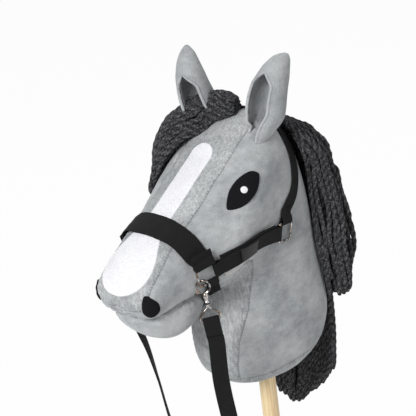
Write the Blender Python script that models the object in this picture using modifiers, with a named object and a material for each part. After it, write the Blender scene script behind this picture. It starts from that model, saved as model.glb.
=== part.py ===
"""Hobby horse: a stuffed plush horse head with a yarn mane and a webbing halter, on a round stick.

Metres, +Z up. The origin is the centre of the stick's foot, the horse looks along -X, and its
left side faces -Y.
"""

import math

import bmesh
import bpy
import numpy as np
from mathutils import Matrix, Vector
from mathutils.bvhtree import BVHTree

# Stick and its pocket
STICK_LENGTH = 0.800
STICK_DIAMETER = 0.022
STICK_EDGE = 0.0015
STICK_SIDES = 32
STICK_INSERT = 0.217
POCKET_CLEARANCE = 0.0003
POCKET_WALL = 0.002
POCKET_END = 0.002

# Edges steeper than this are drawn sharp
SHARP_ANGLE = math.radians(38)

WELD_REACH = 0.00005

# Clearances between pieces that touch
GAP = 0.0003
LAY_GAP = 0.0006
SEAM_GAP = 0.0007

# Cloth thicknesses
COVER = 0.0018
FILLING_GAP = 0.0017
FELT = 0.0014
GLINT_THICKNESS = 0.0010
BLAZE_THICKNESS = 0.0009

# Halter and rein sizes
WEBBING = 0.0017
NOSEBAND_WIDTH = 0.030
CHIN_WIDTH = 0.016
CHEEK_WIDTH = 0.020
CROWN_WIDTH = 0.020
PAD_WIDTH = 0.025
LINING_WIDTH = 0.026
PAD_STEP = 0.011
PAD_THICKNESS = 0.0022
PAD_SETBACK = 0.016
LINING_THICKNESS = 0.0010
# Between the layers of a cheek piece
LAYER_GAP = 0.0007
FOLD_WIDTH = 0.0174
UPPER_FOLD_WIDTH = 0.0164
CHIN_FOLD = 0.0120
PATCH_PLACE = 0.42
PATCH_LENGTH = 0.026
PATCH_WIDTH = 0.018
PATCH_THICKNESS = 0.0010
REIN_WIDTH = 0.020
REIN_THICKNESS = 0.0020

# Metal sizes
RING_WIRE = 0.0028
LOWER_RING_INSIDE = 0.0225
UPPER_RING_INSIDE = 0.0215
RING_CORNER = 0.0028
HOOK_WIRE = 0.0028
HOOK_MOUTH_RADIUS = 0.0064
HOOK_DROP = 0.0008
HOOK_SLIDE = 0.0022
HOOK_LEAN = (0.05, -0.22)
HOOK_TURN = (0.62, 0.78)
SHANK_HIGH = 0.0072
SHANK_LOW = 0.0052
HOOK_SHANK_LENGTH = 0.0118
GATE_OPENING = math.radians(96)
GATE_HEEL = math.radians(30)
GATE_CLEAR = 0.0015
GATE_WIRE = 0.0022
THUMB_KNOB = 0.0034
THUMB_STEM = 0.0065
THUMB_HEIGHT = 0.0022
# Where the knob stands, as a share of the gate's arc
THUMB_PLACE = 0.55
SWIVEL_DIAMETER = 0.0066
SWIVEL_LENGTH = 0.0045
LOOP_TURN = (0.76, 0.65)
D_LOOP_WIRE = 0.0026
D_LOOP_INSIDE = 0.0218
D_LOOP_HEIGHT = 0.0150
D_LOOP_SIDE = 0.0058
D_LOOP_APEX = 0.0014
D_LOOP_CORNER = 0.0013
FOLD_LENGTH = 0.0200

# Eyes, glints and nostrils
EYE_LENGTH = 0.058
EYE_WIDTH = 0.029
GLINT_DIAMETER = 0.0095
NOSTRIL_SIZE = 0.021
# The eye's corners are this much sharper than an ellipse's
EYE_POINT = 1.25
# The nostril is a soft triangle: how far its lobes swell, and how narrow it is across
NOSTRIL_LOBES = 0.16
NOSTRIL_NARROW = 0.86
# Where they are sewn on, which way they face and which way their length runs, on the +Y side
EYE_SPOT = (-0.0647, 0.0670, 0.2866)
EYE_FACES = (-0.332, 0.816, 0.473)
EYE_ALONG = (0.851, 0.043, 0.523)
NOSTRIL_SPOT = (-0.2105, 0.0445, 0.1885)
NOSTRIL_FACES = (-0.72, 0.66, -0.10)
NOSTRIL_ALONG = (0.35, 0.0, 1.0)

# Ears: where the spine stands and ends, over the neck's base, which way the opening looks, the
# depth and half width of the cup, and how far the arms wrap forward
LEFT_EAR_BASE = (0.0170, -0.0515, 0.3350)
LEFT_EAR_TIP = (0.0410, -0.0580, 0.4235)
LEFT_EAR_LOOKS = (-0.99, -0.10, 0.0)
LEFT_EAR_DEPTH = 0.025
LEFT_EAR_HALF = 0.0195
LEFT_EAR_WRAP = math.radians(130)
RIGHT_EAR_BASE = (0.0130, 0.0465, 0.3350)
RIGHT_EAR_TIP = (-0.0100, 0.0620, 0.4330)
RIGHT_EAR_LOOKS = (-0.91, -0.42, 0.0)
RIGHT_EAR_DEPTH = 0.028
RIGHT_EAR_HALF = 0.0175
RIGHT_EAR_WRAP = math.radians(125)
EAR_BOW = 0.004
# The share of the spine where the foot and the tip end, how much the foot is gathered in and
# over what share, and the two powers of the leaf's outline
EAR_FOOT = -0.30
EAR_END = 0.985
EAR_PINCH = 0.25
EAR_PINCH_REACH = 0.35
EAR_POINT = 3
EAR_BELLY = 0.6
EAR_ROOM = 0.0056
EAR_CLOTH = 0.0030
EAR_LINING = 0.0016

# Blaze: half widths on the forehead and the nose, where its top lies and how long it is
BLAZE_UPPER_HALF = 0.0168
BLAZE_LOWER_HALF = 0.0385
BLAZE_TOP = (-0.0515, 0.0, 0.3290)
BLAZE_LENGTH = 0.2085
# The direction it is laid on from, and by share of its length: where it widens and how
# sharply, where its round toe begins and how full that is, and where its round head ends
BLAZE_FACES = (-0.80, 0.0, 0.60)
BLAZE_FLARE_AT = 0.68
BLAZE_FLARE_RATE = 17
BLAZE_TOE = 0.80
BLAZE_TOE_ROUND = 2.6
BLAZE_HEAD = 0.08
BLAZE_ROWS = (
    *(0, 0.012, 0.04, 0.12, 0.22, 0.32, 0.42, 0.52, 0.60),
    *(0.66, 0.72, 0.78, 0.84, 0.89, 0.93, 0.96, 0.985, 1),
)

# Mane
MANE_TAPE_WIDTH = 0.012
MANE_TAPE_THICKNESS = 0.0012
TAPE_STEP = 0.014
# The section numbers that the tape is sewn along, down the crest
TAPE_ROWS = (10.35, 9.8, 9.2, 8.4, 7.6, 6.8, 6.0, 5.2)
FORELOCK_LIFT = 0.0042
FORELOCK_UNDER = 0.012

# Height of the neck's base over the stick's foot
NECK_BASE = STICK_LENGTH - STICK_INSERT

# Sections of the stuffed head and neck, from the stick hole in the base to the nose tip:
# throat point (x, height over the neck's base), crest point, half width, squareness
HEAD_SECTIONS = (
    ((-0.0150, 0.0000), (0.0150, 0.0000), 0.0150, 2.00),
    ((-0.0400, 0.0030), (0.0420, 0.0030), 0.0320, 2.10),
    ((-0.0660, 0.0110), (0.0690, 0.0120), 0.0470, 2.20),
    ((-0.0870, 0.0270), (0.0880, 0.0290), 0.0570, 2.30),
    ((-0.0960, 0.0510), (0.0990, 0.0570), 0.0625, 2.35),
    ((-0.0980, 0.0790), (0.1000, 0.0890), 0.0640, 2.35),
    ((-0.0940, 0.1070), (0.0960, 0.1250), 0.0630, 2.35),
    ((-0.0890, 0.1310), (0.0900, 0.1690), 0.0615, 2.35),
    ((-0.0850, 0.1450), (0.0830, 0.2170), 0.0615, 2.40),
    ((-0.0840, 0.1510), (0.0730, 0.2670), 0.0635, 2.40),
    ((-0.0860, 0.1540), (0.0520, 0.3190), 0.0690, 2.40),
    ((-0.0900, 0.1550), (0.0130, 0.3540), 0.0745, 2.30),
    ((-0.0970, 0.1560), (-0.0340, 0.3400), 0.0770, 2.30),
    ((-0.1080, 0.1570), (-0.0700, 0.3150), 0.0755, 2.30),
    ((-0.1220, 0.1590), (-0.1030, 0.2920), 0.0680, 2.30),
    ((-0.1380, 0.1620), (-0.1330, 0.2720), 0.0600, 2.35),
    ((-0.1570, 0.1640), (-0.1610, 0.2550), 0.0545, 2.40),
    ((-0.1780, 0.1650), (-0.1870, 0.2370), 0.0520, 2.50),
    ((-0.1980, 0.1660), (-0.2080, 0.2200), 0.0500, 2.60),
    ((-0.2130, 0.1700), (-0.2215, 0.2060), 0.0430, 2.60),
    ((-0.2205, 0.1780), (-0.2265, 0.1960), 0.0280, 2.40),
    ((-0.2235, 0.1850), (-0.2275, 0.1900), 0.0080, 2.10),
    ((-0.2242, 0.1868), (-0.2272, 0.1884), 0.0020, 2.00),
)
JAW_SECTIONS = (
    ((-0.1000, 0.1570), (-0.1060, 0.2070), 0.0300, 2.30),
    ((-0.1200, 0.1390), (-0.1280, 0.2070), 0.0410, 2.30),
    ((-0.1400, 0.1240), (-0.1500, 0.2020), 0.0445, 2.30),
    ((-0.1650, 0.1205), (-0.1680, 0.1920), 0.0445, 2.30),
    ((-0.1870, 0.1290), (-0.1860, 0.1850), 0.0420, 2.30),
    ((-0.2030, 0.1430), (-0.1980, 0.1850), 0.0370, 2.30),
    ((-0.2115, 0.1560), (-0.2080, 0.1850), 0.0270, 2.30),
    ((-0.2145, 0.1650), (-0.2120, 0.1830), 0.0130, 2.20),
    ((-0.2152, 0.1710), (-0.2140, 0.1790), 0.0030, 2.00),
)
# Where the head's filling ends and the neck's begins, in section numbers
NECK_SPLIT = 9.65
# Seams, as (section number, degrees round from the crest)
BASE_SEAM = 2.9
THROAT_SEAM = (
    (2.9, 149),
    (3.9, 146),
    (5.1, 141),
    (6.5, 130),
    (8.3, 124),
    (10.1, 121),
    (12.0, 130),
    (14.0, 142),
    (20.2, 150),
)
FOREHEAD_SEAM = (
    (9.9, 2.5),
    (10.5, 16),
    (11.4, 25),
    (12.3, 28),
    (13.3, 28.5),
    (14.1, 33),
    (15.2, 38),
    (16.0, 42),
    (17.0, 51),
    (18.0, 58),
    (19.0, 77),
    (20.0, 118),
    (20.6, 150),
    (21.0, 166),
    (22.0, 172),
)
# Section numbers of the cover's rows, closer together where the form bends most
NECK_ROWS = (2.93, 3.6, 4.4, 5.4, 6.4, 7.4, 8.3, 9.1)
POLL_ROWS = (9.75, 10.15, 10.5, 10.8, 11.1, 11.5, 12.0)
FACE_ROWS = (12.6, 13.3, 14.1, 15.0, 16.0, 17.0, 17.9, 18.6, 19.2, 20.0)
NOSE_ROWS = (20.5, 21.0, 21.5, 22.0)


def through(points, at):
    """Values of a smooth curve through the points, at share numbers counted in points."""
    points = np.asarray(points, float)
    at = np.atleast_1d(np.asarray(at, float))
    last = len(points) - 1
    start = np.clip(at.astype(int), 0, last - 1)
    part = (at - start)[:, None]
    first = np.where((start == 0)[:, None], 2 * points[0] - points[1], points[np.maximum(start - 1, 0)])
    beyond = 2 * points[last] - points[last - 1]
    fourth = np.where((start == last - 1)[:, None], beyond, points[np.minimum(start + 2, last)])
    second, third = points[start], points[start + 1]
    return 0.5 * (
        2 * second
        + (third - first) * part
        + (2 * first - 5 * second + 4 * third - fourth) * part**2
        + (3 * second - first - 3 * third + fourth) * part**3
    )


def skin_points(sections, number, angle):
    """Points on a stuffed form: section numbers and angles round from the crest, towards +Y."""
    table = [(*low, *high, half, square) for low, high, half, square in sections]
    number, angle = np.broadcast_arrays(number, angle)
    rows = through(table, number.ravel())
    turn = angle.ravel()
    power = 2 / rows[:, 5]
    along = np.sign(np.cos(turn)) * np.abs(np.cos(turn)) ** power
    aside = np.sign(np.sin(turn)) * np.abs(np.sin(turn)) ** power
    middle = (rows[:, 0:2] + rows[:, 2:4]) / 2
    half = (rows[:, 2:4] - rows[:, 0:2]) / 2
    x = middle[:, 0] + half[:, 0] * along
    z = middle[:, 1] + half[:, 1] * along + NECK_BASE
    points = np.stack([x, rows[:, 4] * aside, z], axis=1)
    return points.reshape(number.shape + (3,))


def skin_offset(sections, number, angle, rise):
    """The same points, moved out along the form's normal."""
    number, angle = np.broadcast_arrays(np.asarray(number, float), np.asarray(angle, float))
    step = 0.02
    last = len(sections) - 1
    ahead = skin_points(sections, np.minimum(number + step, last), angle)
    behind = skin_points(sections, np.maximum(number - step, 0), angle)
    left = skin_points(sections, number, angle - step)
    right = skin_points(sections, number, angle + step)
    normal = np.cross(right - left, ahead - behind)
    normal /= np.maximum(np.linalg.norm(normal, axis=-1, keepdims=True), 1e-12)
    return skin_points(sections, number, angle) + normal * rise


def material(name, colour, roughness, metallic=0.0):
    made = bpy.data.materials.get(name)
    if made is None:
        made = bpy.data.materials.new(name)
        made.use_nodes = True
        shader = made.node_tree.nodes["Principled BSDF"]
        shader.inputs["Base Color"].default_value = (*colour, 1)
        shader.inputs["Roughness"].default_value = roughness
        shader.inputs["Metallic"].default_value = metallic
        made.diffuse_color = (*colour, 1)
    return made


def plush():
    return material("grey_plush", (0.37, 0.40, 0.41), 0.9)


def white_plush():
    return material("white_plush", (0.87, 0.87, 0.89), 0.9)


def felt():
    return material("black_felt", (0.012, 0.012, 0.014), 0.95)


def webbing():
    return material("black_webbing", (0.016, 0.016, 0.017), 0.7)


def steel():
    return material("bright_steel", (0.75, 0.75, 0.77), 0.2, 1.0)


def yarn():
    return material("charcoal_yarn", (0.06, 0.06, 0.065), 0.9)


def clear_scene():
    for item in list(bpy.data.objects):
        bpy.data.objects.remove(item, do_unlink=True)
    for name in ("hobby_horse", "cutters"):
        bpy.context.scene.collection.children.link(bpy.data.collections.new(name))


def show(name, mesh, look):
    """A finished sub-part: the mesh as an object in the horse's collection."""
    piece = bpy.data.objects.new(name, mesh)
    mesh.materials.clear()
    mesh.materials.append(look)
    mesh.shade_smooth()
    mesh.set_sharp_from_angle(angle=SHARP_ANGLE)
    bpy.data.collections["hobby_horse"].objects.link(piece)
    return piece


def turn_about(piece, pivot):
    """Puts a moving piece's origin on its joint's axis."""
    piece.data.transform(Matrix.Translation(-pivot))
    piece.location = pivot
    return piece


def cutter(name, mesh):
    piece = bpy.data.objects.new(name, mesh)
    piece.hide_render = True
    piece.display_type = "WIRE"
    bpy.data.collections["cutters"].objects.link(piece)
    return piece


def mesh_from(build, name):
    """A mesh that the function fills in, with its faces pointing out."""
    work = bmesh.new()
    build(work)
    mesh = bpy.data.meshes.new(name)
    work.to_mesh(mesh)
    work.free()
    return mesh


def grid_mesh(name, grid, closed_round=False, outward=None):
    """An open sheet over a grid of points; outward gives the way its faces look at a point."""
    rows, columns, _ = grid.shape

    def build(work):
        points = [[work.verts.new(grid[i, j]) for j in range(columns)] for i in range(rows)]
        for i in range(rows - 1):
            for j in range(columns if closed_round else columns - 1):
                k = (j + 1) % columns
                work.faces.new((points[i][j], points[i][k], points[i + 1][k], points[i + 1][j]))
        bmesh.ops.recalc_face_normals(work, faces=work.faces)
        work.normal_update()
        facing = sum(face.normal.dot(outward(face.calc_center_median())) for face in work.faces)
        if facing < 0:
            bmesh.ops.reverse_faces(work, faces=work.faces)

    return mesh_from(build, name)


def form_mesh(name, rings, start_cap=True, end_cap=True):
    """A closed loft over rings of points."""

    def build(work):
        points = [[work.verts.new(point) for point in ring] for ring in rings]
        count = len(points[0])
        for lower, upper in zip(points, points[1:]):
            for j in range(count):
                k = (j + 1) % count
                work.faces.new((lower[j], lower[k], upper[k], upper[j]))
        if start_cap:
            work.faces.new(points[0][::-1])
        if end_cap:
            work.faces.new(points[-1])
        bmesh.ops.recalc_face_normals(work, faces=work.faces)

    return mesh_from(build, name)


def away_from(centre):
    return lambda point: point - Vector(centre)


def along(direction):
    return lambda point: Vector(direction)


def thicken(piece, thickness, side, rise=0.0):
    """Lifts a sheet off what it lies on and gives it its thickness."""
    if rise:
        lift = piece.modifiers.new("lift", "DISPLACE")
        lift.strength = rise
        lift.mid_level = 0.0
    wall = piece.modifiers.new("wall", "SOLIDIFY")
    wall.thickness = thickness
    wall.offset = side
    wall.use_even_offset = False
    return piece


def mirror_of(piece, name, look):
    """A finished piece's twin on the horse's other side."""
    bpy.context.view_layer.update()
    shape = bpy.data.meshes.new_from_object(piece.evaluated_get(bpy.context.evaluated_depsgraph_get()))
    shape.name = name
    shape.transform(Matrix.Diagonal((1, -1, 1, 1)))
    shape.flip_normals()
    return show(name, shape, look)


def weld(piece):
    """Joins the near-equal corners that a cut leaves."""
    step = piece.modifiers.new("weld", "WELD")
    step.merge_threshold = WELD_REACH
    return piece


def cut(piece, tool, operation="DIFFERENCE"):
    step = piece.modifiers.new(operation.lower() + "_" + tool.name, "BOOLEAN")
    step.operation = operation
    step.solver = "EXACT"
    step.object = tool
    return piece


def frame_matrix(origin, x_axis, y_axis, z_axis):
    rows = Matrix((x_axis, y_axis, z_axis)).transposed().to_4x4()
    return Matrix.Translation(origin) @ rows


def rod_mesh(name, start, end, radius, sides=16, end_radius=None, twist=0.0):
    """A straight cylinder between two points, or a cone where it has an end radius of its own."""
    start, end = Vector(start), Vector(end)
    turn = (end - start).to_track_quat("Z", "Y").to_matrix().to_4x4()
    place = Matrix.Translation((start + end) / 2) @ turn @ Matrix.Rotation(twist, 4, "Z")

    def build(work):
        bmesh.ops.create_cone(
            work,
            cap_ends=True,
            segments=sides,
            radius1=radius,
            radius2=radius if end_radius is None else end_radius,
            depth=(end - start).length,
            matrix=place,
        )

    return mesh_from(build, name)


def wire(name, points, radius, look, cyclic=False, resolution=2, place=None):
    """A round wire along a chain of points, as a mesh object with its caps welded."""
    curve = bpy.data.curves.new(name, "CURVE")
    curve.dimensions = "3D"
    curve.bevel_depth = radius
    curve.bevel_resolution = resolution
    curve.use_fill_caps = True
    spline = curve.splines.new("POLY")
    spline.points.add(len(points) - 1)
    for spot, point in zip(spline.points, points):
        spot.co = (*point, 1)
    spline.use_cyclic_u = cyclic
    guide = bpy.data.objects.new(name + "_path", curve)
    bpy.data.collections["cutters"].objects.link(guide)
    bpy.context.view_layer.update()
    mesh = bpy.data.meshes.new_from_object(guide.evaluated_get(bpy.context.evaluated_depsgraph_get()))
    bpy.data.objects.remove(guide, do_unlink=True)
    work = bmesh.new()
    work.from_mesh(mesh)
    bmesh.ops.remove_doubles(work, verts=work.verts, dist=1e-6)
    bmesh.ops.recalc_face_normals(work, faces=work.faces)
    if place is not None:
        bmesh.ops.transform(work, matrix=place, verts=work.verts)
    work.to_mesh(mesh)
    work.free()
    mesh.name = name
    if look is None:
        return cutter(name, mesh)
    return show(name, mesh, look)


class Skin:
    """The plush surface that everything sewn or strapped on lies against, read off its left half."""

    def __init__(self):
        self.tree = None

    def take(self, mesh):
        points = [vertex.co.copy() for vertex in mesh.vertices]
        self.tree = BVHTree.FromPolygons(points, [tuple(polygon.vertices) for polygon in mesh.polygons])

    def hit(self, point, inward, reach=0.25):
        """Where a line that starts outside, reach away from the point, meets the plush."""
        fold = Vector((1, -1 if point[1] > 0 else 1, 1))
        start = Vector(point) * fold
        inward = (Vector(inward) * fold).normalized()
        place, _, _, _ = self.tree.ray_cast(start - inward * reach, inward)
        if place is None:
            place = self.tree.find_nearest(start)[0]
        return place * fold

    def near(self, point):
        """The nearest spot of the plush, and its normal there."""
        fold = Vector((1, -1 if point[1] > 0 else 1, 1))
        place, normal, _, _ = self.tree.find_nearest(Vector(point) * fold)
        return place * fold, normal * fold


SKIN = Skin()


def make_skin():
    """Joins the head and neck form and the jaw form into the one surface that is laid against."""
    rings = form_rings(HEAD_SECTIONS, np.arange(0.5, 22.01, 0.25), 48, 0.0)
    head = cutter("head_form", form_mesh("head_form", rings))
    rings = form_rings(JAW_SECTIONS, np.arange(0.0, len(JAW_SECTIONS) - 0.99, 0.5), 32, 0.0)
    jaw = cutter("jaw_form", form_mesh("jaw_form", rings))
    cut(head, jaw, "UNION")
    bpy.context.view_layer.update()
    joined = bpy.data.meshes.new_from_object(head.evaluated_get(bpy.context.evaluated_depsgraph_get()))
    SKIN.take(joined)
    for guide in (head, jaw):
        bpy.data.objects.remove(guide, do_unlink=True)


# Stick

def make_stick():
    bpy.ops.mesh.primitive_cylinder_add(
        vertices=STICK_SIDES,
        radius=STICK_DIAMETER / 2,
        depth=STICK_LENGTH,
        location=(0, 0, STICK_LENGTH / 2),
    )
    stick = bpy.context.active_object
    stick.name = "stick"
    for home in list(stick.users_collection):
        home.objects.unlink(stick)
    bpy.data.collections["hobby_horse"].objects.link(stick)
    stick.data.materials.append(material("pine", (0.80, 0.62, 0.36), 0.5))
    edge = stick.modifiers.new("edge", "BEVEL")
    edge.width = STICK_EDGE
    edge.segments = 2
    edge.limit_method = "ANGLE"


def pocket_radius():
    return STICK_DIAMETER / 2 + POCKET_CLEARANCE + POCKET_WALL


def pocket_top():
    return STICK_LENGTH + GAP + POCKET_END


def make_pocket():
    bore_top = (0, 0, STICK_LENGTH + GAP)
    foot = (0, 0, NECK_BASE + COVER + GAP)
    inner = rod_mesh("pocket_bore", (0, 0, 0), bore_top, pocket_radius() - POCKET_WALL, STICK_SIDES)
    outer = rod_mesh("stick_pocket", foot, (0, 0, pocket_top()), pocket_radius(), STICK_SIDES)
    pocket = show("stick_pocket", outer, material("pocket_cloth", (0.25, 0.25, 0.26), 0.9))
    cut(pocket, cutter("pocket_bore", inner))


# Filling

def ring_angles(count):
    return np.linspace(0, 2 * math.pi, count, endpoint=False)


def form_rings(sections, numbers, count, rise):
    angles = ring_angles(count)
    return [skin_offset(sections, number, angles, rise) for number in numbers]


def make_fillings():
    depth = -(COVER + FILLING_GAP)
    split = NECK_SPLIT
    neck = form_rings(HEAD_SECTIONS, [1.4, 2.1, *NECK_ROWS[:-1], 9.0, split], 24, depth)
    face = neck[-1].mean(axis=0) - neck[-2].mean(axis=0)
    crest = neck[-1][0] - neck[-1][12]
    square = np.cross((0, 1, 0), crest)
    square *= math.copysign(1, square @ face) / np.linalg.norm(square)
    flat = neck[-1] - ((neck[-1] - neck[-1].mean(axis=0)) @ square)[:, None] * square
    neck_end = flat - square * GAP
    head = form_rings(HEAD_SECTIONS, [*POLL_ROWS[1:], *FACE_ROWS, 20.35], 24, depth)
    filling = material("fibre_filling", (0.85, 0.85, 0.83), 1.0)
    neck_piece = show("neck_filling", form_mesh("neck_filling", neck[:-1] + [neck_end]), filling)
    hole_top = (0, 0, pocket_top() + GAP)
    bore = rod_mesh("pocket_hole", (0, 0, 0), hole_top, pocket_radius() + GAP, STICK_SIDES)
    hole = cutter("pocket_hole", bore)
    cut(neck_piece, hole)
    show("head_filling", form_mesh("head_filling", [flat] + head), filling)
    jaw = form_rings(JAW_SECTIONS, [0.4, 1.2, 2.0, 3.0, 4.0, 5.0, 5.8, 6.4], 20, depth - 0.0006)
    jaw_piece = show("jaw_filling", form_mesh("jaw_filling", jaw), filling)
    weld(cut(jaw_piece, head_cutter()))


def head_cutter():
    """The closed head form, a little larger, that the lower jaw's pieces are cut back to."""
    tool = bpy.data.objects.get("head_space")
    if tool is None:
        rings = form_rings(HEAD_SECTIONS, np.arange(9.0, 22.01, 0.25), 48, LAY_GAP)
        tool = cutter("head_space", form_mesh("head_space", rings))
    return tool


# Cover

def seam_angle(seam, numbers):
    return np.radians(np.interp(numbers, [spot[0] for spot in seam], [spot[1] for spot in seam]))


def seam_steps(sections, numbers, angles):
    """The turn in angle that moves half a seam gap sideways."""
    here = skin_points(sections, numbers, angles)
    there = skin_points(sections, numbers, angles + 0.05)
    speed = np.linalg.norm(there - here, axis=-1) / 0.05
    return SEAM_GAP / 2 / np.maximum(speed, 1e-4)


def panel(name, sections, numbers, low, high, columns, look, inward_from, closed_round=False):
    share = np.linspace(0, 1, columns + 1)[None, :]
    if closed_round:
        share = share[:, :-1]
    angles = low[:, None] + (high - low)[:, None] * share
    grid = skin_points(sections, numbers[:, None] + 0 * angles, angles)
    mesh = grid_mesh(name, grid, closed_round, inward_from)
    return thicken(show(name, mesh, look), COVER, -1)


def make_cover():
    core = away_from((-0.02, 0, NECK_BASE + 0.19))
    # Side panels, from the base seam to the lip
    numbers = np.array(NECK_ROWS + POLL_ROWS + FACE_ROWS)
    for name, side in (("left_side_panel", -1), ("right_side_panel", 1)):
        top = seam_angle(((0, 0), (9.7, 0), *FOREHEAD_SEAM[1:]), numbers)
        bottom = seam_angle(THROAT_SEAM, numbers)
        top = top + seam_steps(HEAD_SECTIONS, numbers, top)
        bottom = bottom - seam_steps(HEAD_SECTIONS, numbers, bottom)
        panel(name, HEAD_SECTIONS, numbers, side * top, side * bottom, 8, plush(), core)
    # Forehead gusset, from a point behind the ears over the face and round the nose to the lip
    numbers = np.array(POLL_ROWS[1:] + FACE_ROWS + NOSE_ROWS)
    edge = seam_angle(FOREHEAD_SEAM, numbers)
    edge = edge - seam_steps(HEAD_SECTIONS, numbers, edge)
    panel("forehead_gusset", HEAD_SECTIONS, numbers, -edge, edge, 8, plush(), core)
    # Throat gusset, up the front of the neck and on as the roof of the mouth
    numbers = np.array(NECK_ROWS + POLL_ROWS + FACE_ROWS)
    edge = seam_angle(THROAT_SEAM, numbers)
    edge = edge + seam_steps(HEAD_SECTIONS, numbers, edge)
    panel("throat_gusset", HEAD_SECTIONS, numbers, edge, 2 * math.pi - edge, 7, plush(), core)
    # Base panel, round the stick
    numbers = np.linspace(0.0, BASE_SEAM - 0.03, 5)
    around = np.zeros(len(numbers))
    panel("base_panel", HEAD_SECTIONS, numbers, around, around + 2 * math.pi, 28, plush(), core, True)
    # Lower jaw
    numbers = np.array([0.7, 1.5, 2.3, 3.1, 3.9, 4.7, 5.4, 6.0, 6.5, 7.0, 7.5, 8.0])
    reach = np.full(len(numbers), math.radians(40))
    jaw_core = away_from((-0.16, 0, NECK_BASE + 0.165))
    jaw = panel("jaw_cover", JAW_SECTIONS, numbers, reach, 2 * math.pi - reach, 14, plush(), jaw_core)
    weld(cut(jaw, head_cutter()))


# Sewn-on face pieces

def rounded_outline(length, width, sharpness, count):
    """A leaf outline: two arcs that meet in soft points along X."""
    turn = np.linspace(0, 2 * math.pi, count, endpoint=False)
    x = np.cos(turn)
    y = np.sign(np.sin(turn)) * np.abs(np.sin(turn)) ** sharpness
    return np.stack([x * length / 2, y * width / 2], axis=1)


def laid_disc(name, outline, rings, centre, normal, along_axis, thickness, look, rise=LAY_GAP):
    """A flat cut shape laid on the plush: a fan of rings inside the outline, dropped along the normal."""
    normal = Vector(normal).normalized()
    x_axis = (Vector(along_axis) - normal * Vector(along_axis).dot(normal)).normalized()
    y_axis = normal.cross(x_axis)

    def build(work):
        def place(x, y):
            flat = Vector(centre) + x_axis * x + y_axis * y
            return work.verts.new(SKIN.hit(flat, -normal))

        middle = place(0, 0)
        loops = [[place(*(point * step / rings)) for point in outline] for step in range(1, rings + 1)]
        count = len(outline)
        for j in range(count):
            k = (j + 1) % count
            work.faces.new((middle, loops[0][j], loops[0][k]))
            for inner, outer in zip(loops, loops[1:]):
                work.faces.new((inner[j], outer[j], outer[k], inner[k]))
        bmesh.ops.recalc_face_normals(work, faces=work.faces)
        work.normal_update()
        if sum(face.normal.dot(normal) for face in work.faces) < 0:
            bmesh.ops.reverse_faces(work, faces=work.faces)

    return thicken(show(name, mesh_from(build, name), look), thickness, 1, rise)


def make_face():
    for side, word in ((-1, "left"), (1, "right")):
        centre = sided(EYE_SPOT, side)
        normal = turned_to(EYE_FACES, side)
        axis = turned_to(EYE_ALONG, side)
        outline = rounded_outline(EYE_LENGTH, EYE_WIDTH, EYE_POINT, 20)
        laid_disc(f"{word}_eye", outline, 3, centre, normal, axis, FELT, felt())
        spot = rounded_outline(GLINT_DIAMETER, GLINT_DIAMETER, 1.0, 14)
        over_eye = LAY_GAP + FELT + GAP
        laid_disc(
            f"{word}_glint", spot, 1, centre, normal, axis, GLINT_THICKNESS, white_plush(), over_eye
        )
        turn = ring_angles(16)
        size = NOSTRIL_SIZE / 2 * (1 + NOSTRIL_LOBES * np.cos(3 * turn))
        nostril = np.stack([size * np.cos(turn), size * np.sin(turn) * NOSTRIL_NARROW], axis=1)
        spot = sided(NOSTRIL_SPOT, side)
        normal = turned_to(NOSTRIL_FACES, side)
        laid_disc(f"{word}_nostril", nostril, 2, spot, normal, NOSTRIL_ALONG, FELT, felt())
    make_blaze()


def make_blaze():
    """The white stripe: narrow on the forehead, wide over the nose, dropped on along one direction."""
    view = Vector(BLAZE_FACES)
    down = view.cross(Vector((0, 1, 0)))
    top = Vector(BLAZE_TOP) + Vector((0, 0, NECK_BASE))
    rows = []
    for share in BLAZE_ROWS:
        flare = 1 / (1 + math.exp(-(share - BLAZE_FLARE_AT) * BLAZE_FLARE_RATE))
        half = BLAZE_UPPER_HALF + (BLAZE_LOWER_HALF - BLAZE_UPPER_HALF) * flare
        toe = max(0.0, share - BLAZE_TOE) / (1.0004 - BLAZE_TOE)
        half *= math.sqrt(max(0.0, 1 - toe**BLAZE_TOE_ROUND))
        half *= math.sqrt(max(0.2, 1 - (1 - min(1.0, share / BLAZE_HEAD)) ** 2))
        centre = top + down * BLAZE_LENGTH * share
        spots = [centre + Vector((0, half * across, 0)) for across in np.linspace(-1, 1, 7)]
        rows.append([tuple(SKIN.hit(spot, -view)) for spot in spots])
    mesh = grid_mesh("blaze", np.array(rows), False, along(view))
    thicken(show("blaze", mesh, white_plush()), BLAZE_THICKNESS, 1, LAY_GAP)


# Ears

def ear_grid(ear, low, high, rows, columns, wrap):
    """A cupped leaf: a straight spine at the back and arms that curve forward round the opening."""
    base, tip, forward, depth, half, _ = ear
    foot = Vector((0, 0, NECK_BASE))
    base, tip, ahead = Vector(base) + foot, Vector(tip) + foot, Vector(forward)
    axis = (tip - base).normalized()
    ahead = (ahead - axis * ahead.dot(axis)).normalized()
    across = axis.cross(ahead)
    grid = []
    for share in np.linspace(low, high, rows):
        fullness = (1 - max(0.0, share) ** EAR_POINT) ** EAR_BELLY
        pinch = 1 - EAR_PINCH * (1 - smooth_step(share / EAR_PINCH_REACH))
        spine = base + (tip - base) * share + ahead * EAR_BOW * math.sin(math.pi * max(0.0, share))
        row = []
        for turn in np.linspace(-wrap, wrap, columns):
            forth = depth * (1 - math.cos(turn)) * fullness * pinch
            row.append(spine + ahead * forth + across * half * math.sin(turn) * fullness * pinch)
        grid.append([tuple(point) for point in row])
    return np.array(grid), ahead


EARS = {
    "left": (
        LEFT_EAR_BASE, LEFT_EAR_TIP, LEFT_EAR_LOOKS, LEFT_EAR_DEPTH, LEFT_EAR_HALF, LEFT_EAR_WRAP
    ),
    "right": (
        RIGHT_EAR_BASE, RIGHT_EAR_TIP, RIGHT_EAR_LOOKS, RIGHT_EAR_DEPTH, RIGHT_EAR_HALF, RIGHT_EAR_WRAP
    ),
}


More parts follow.
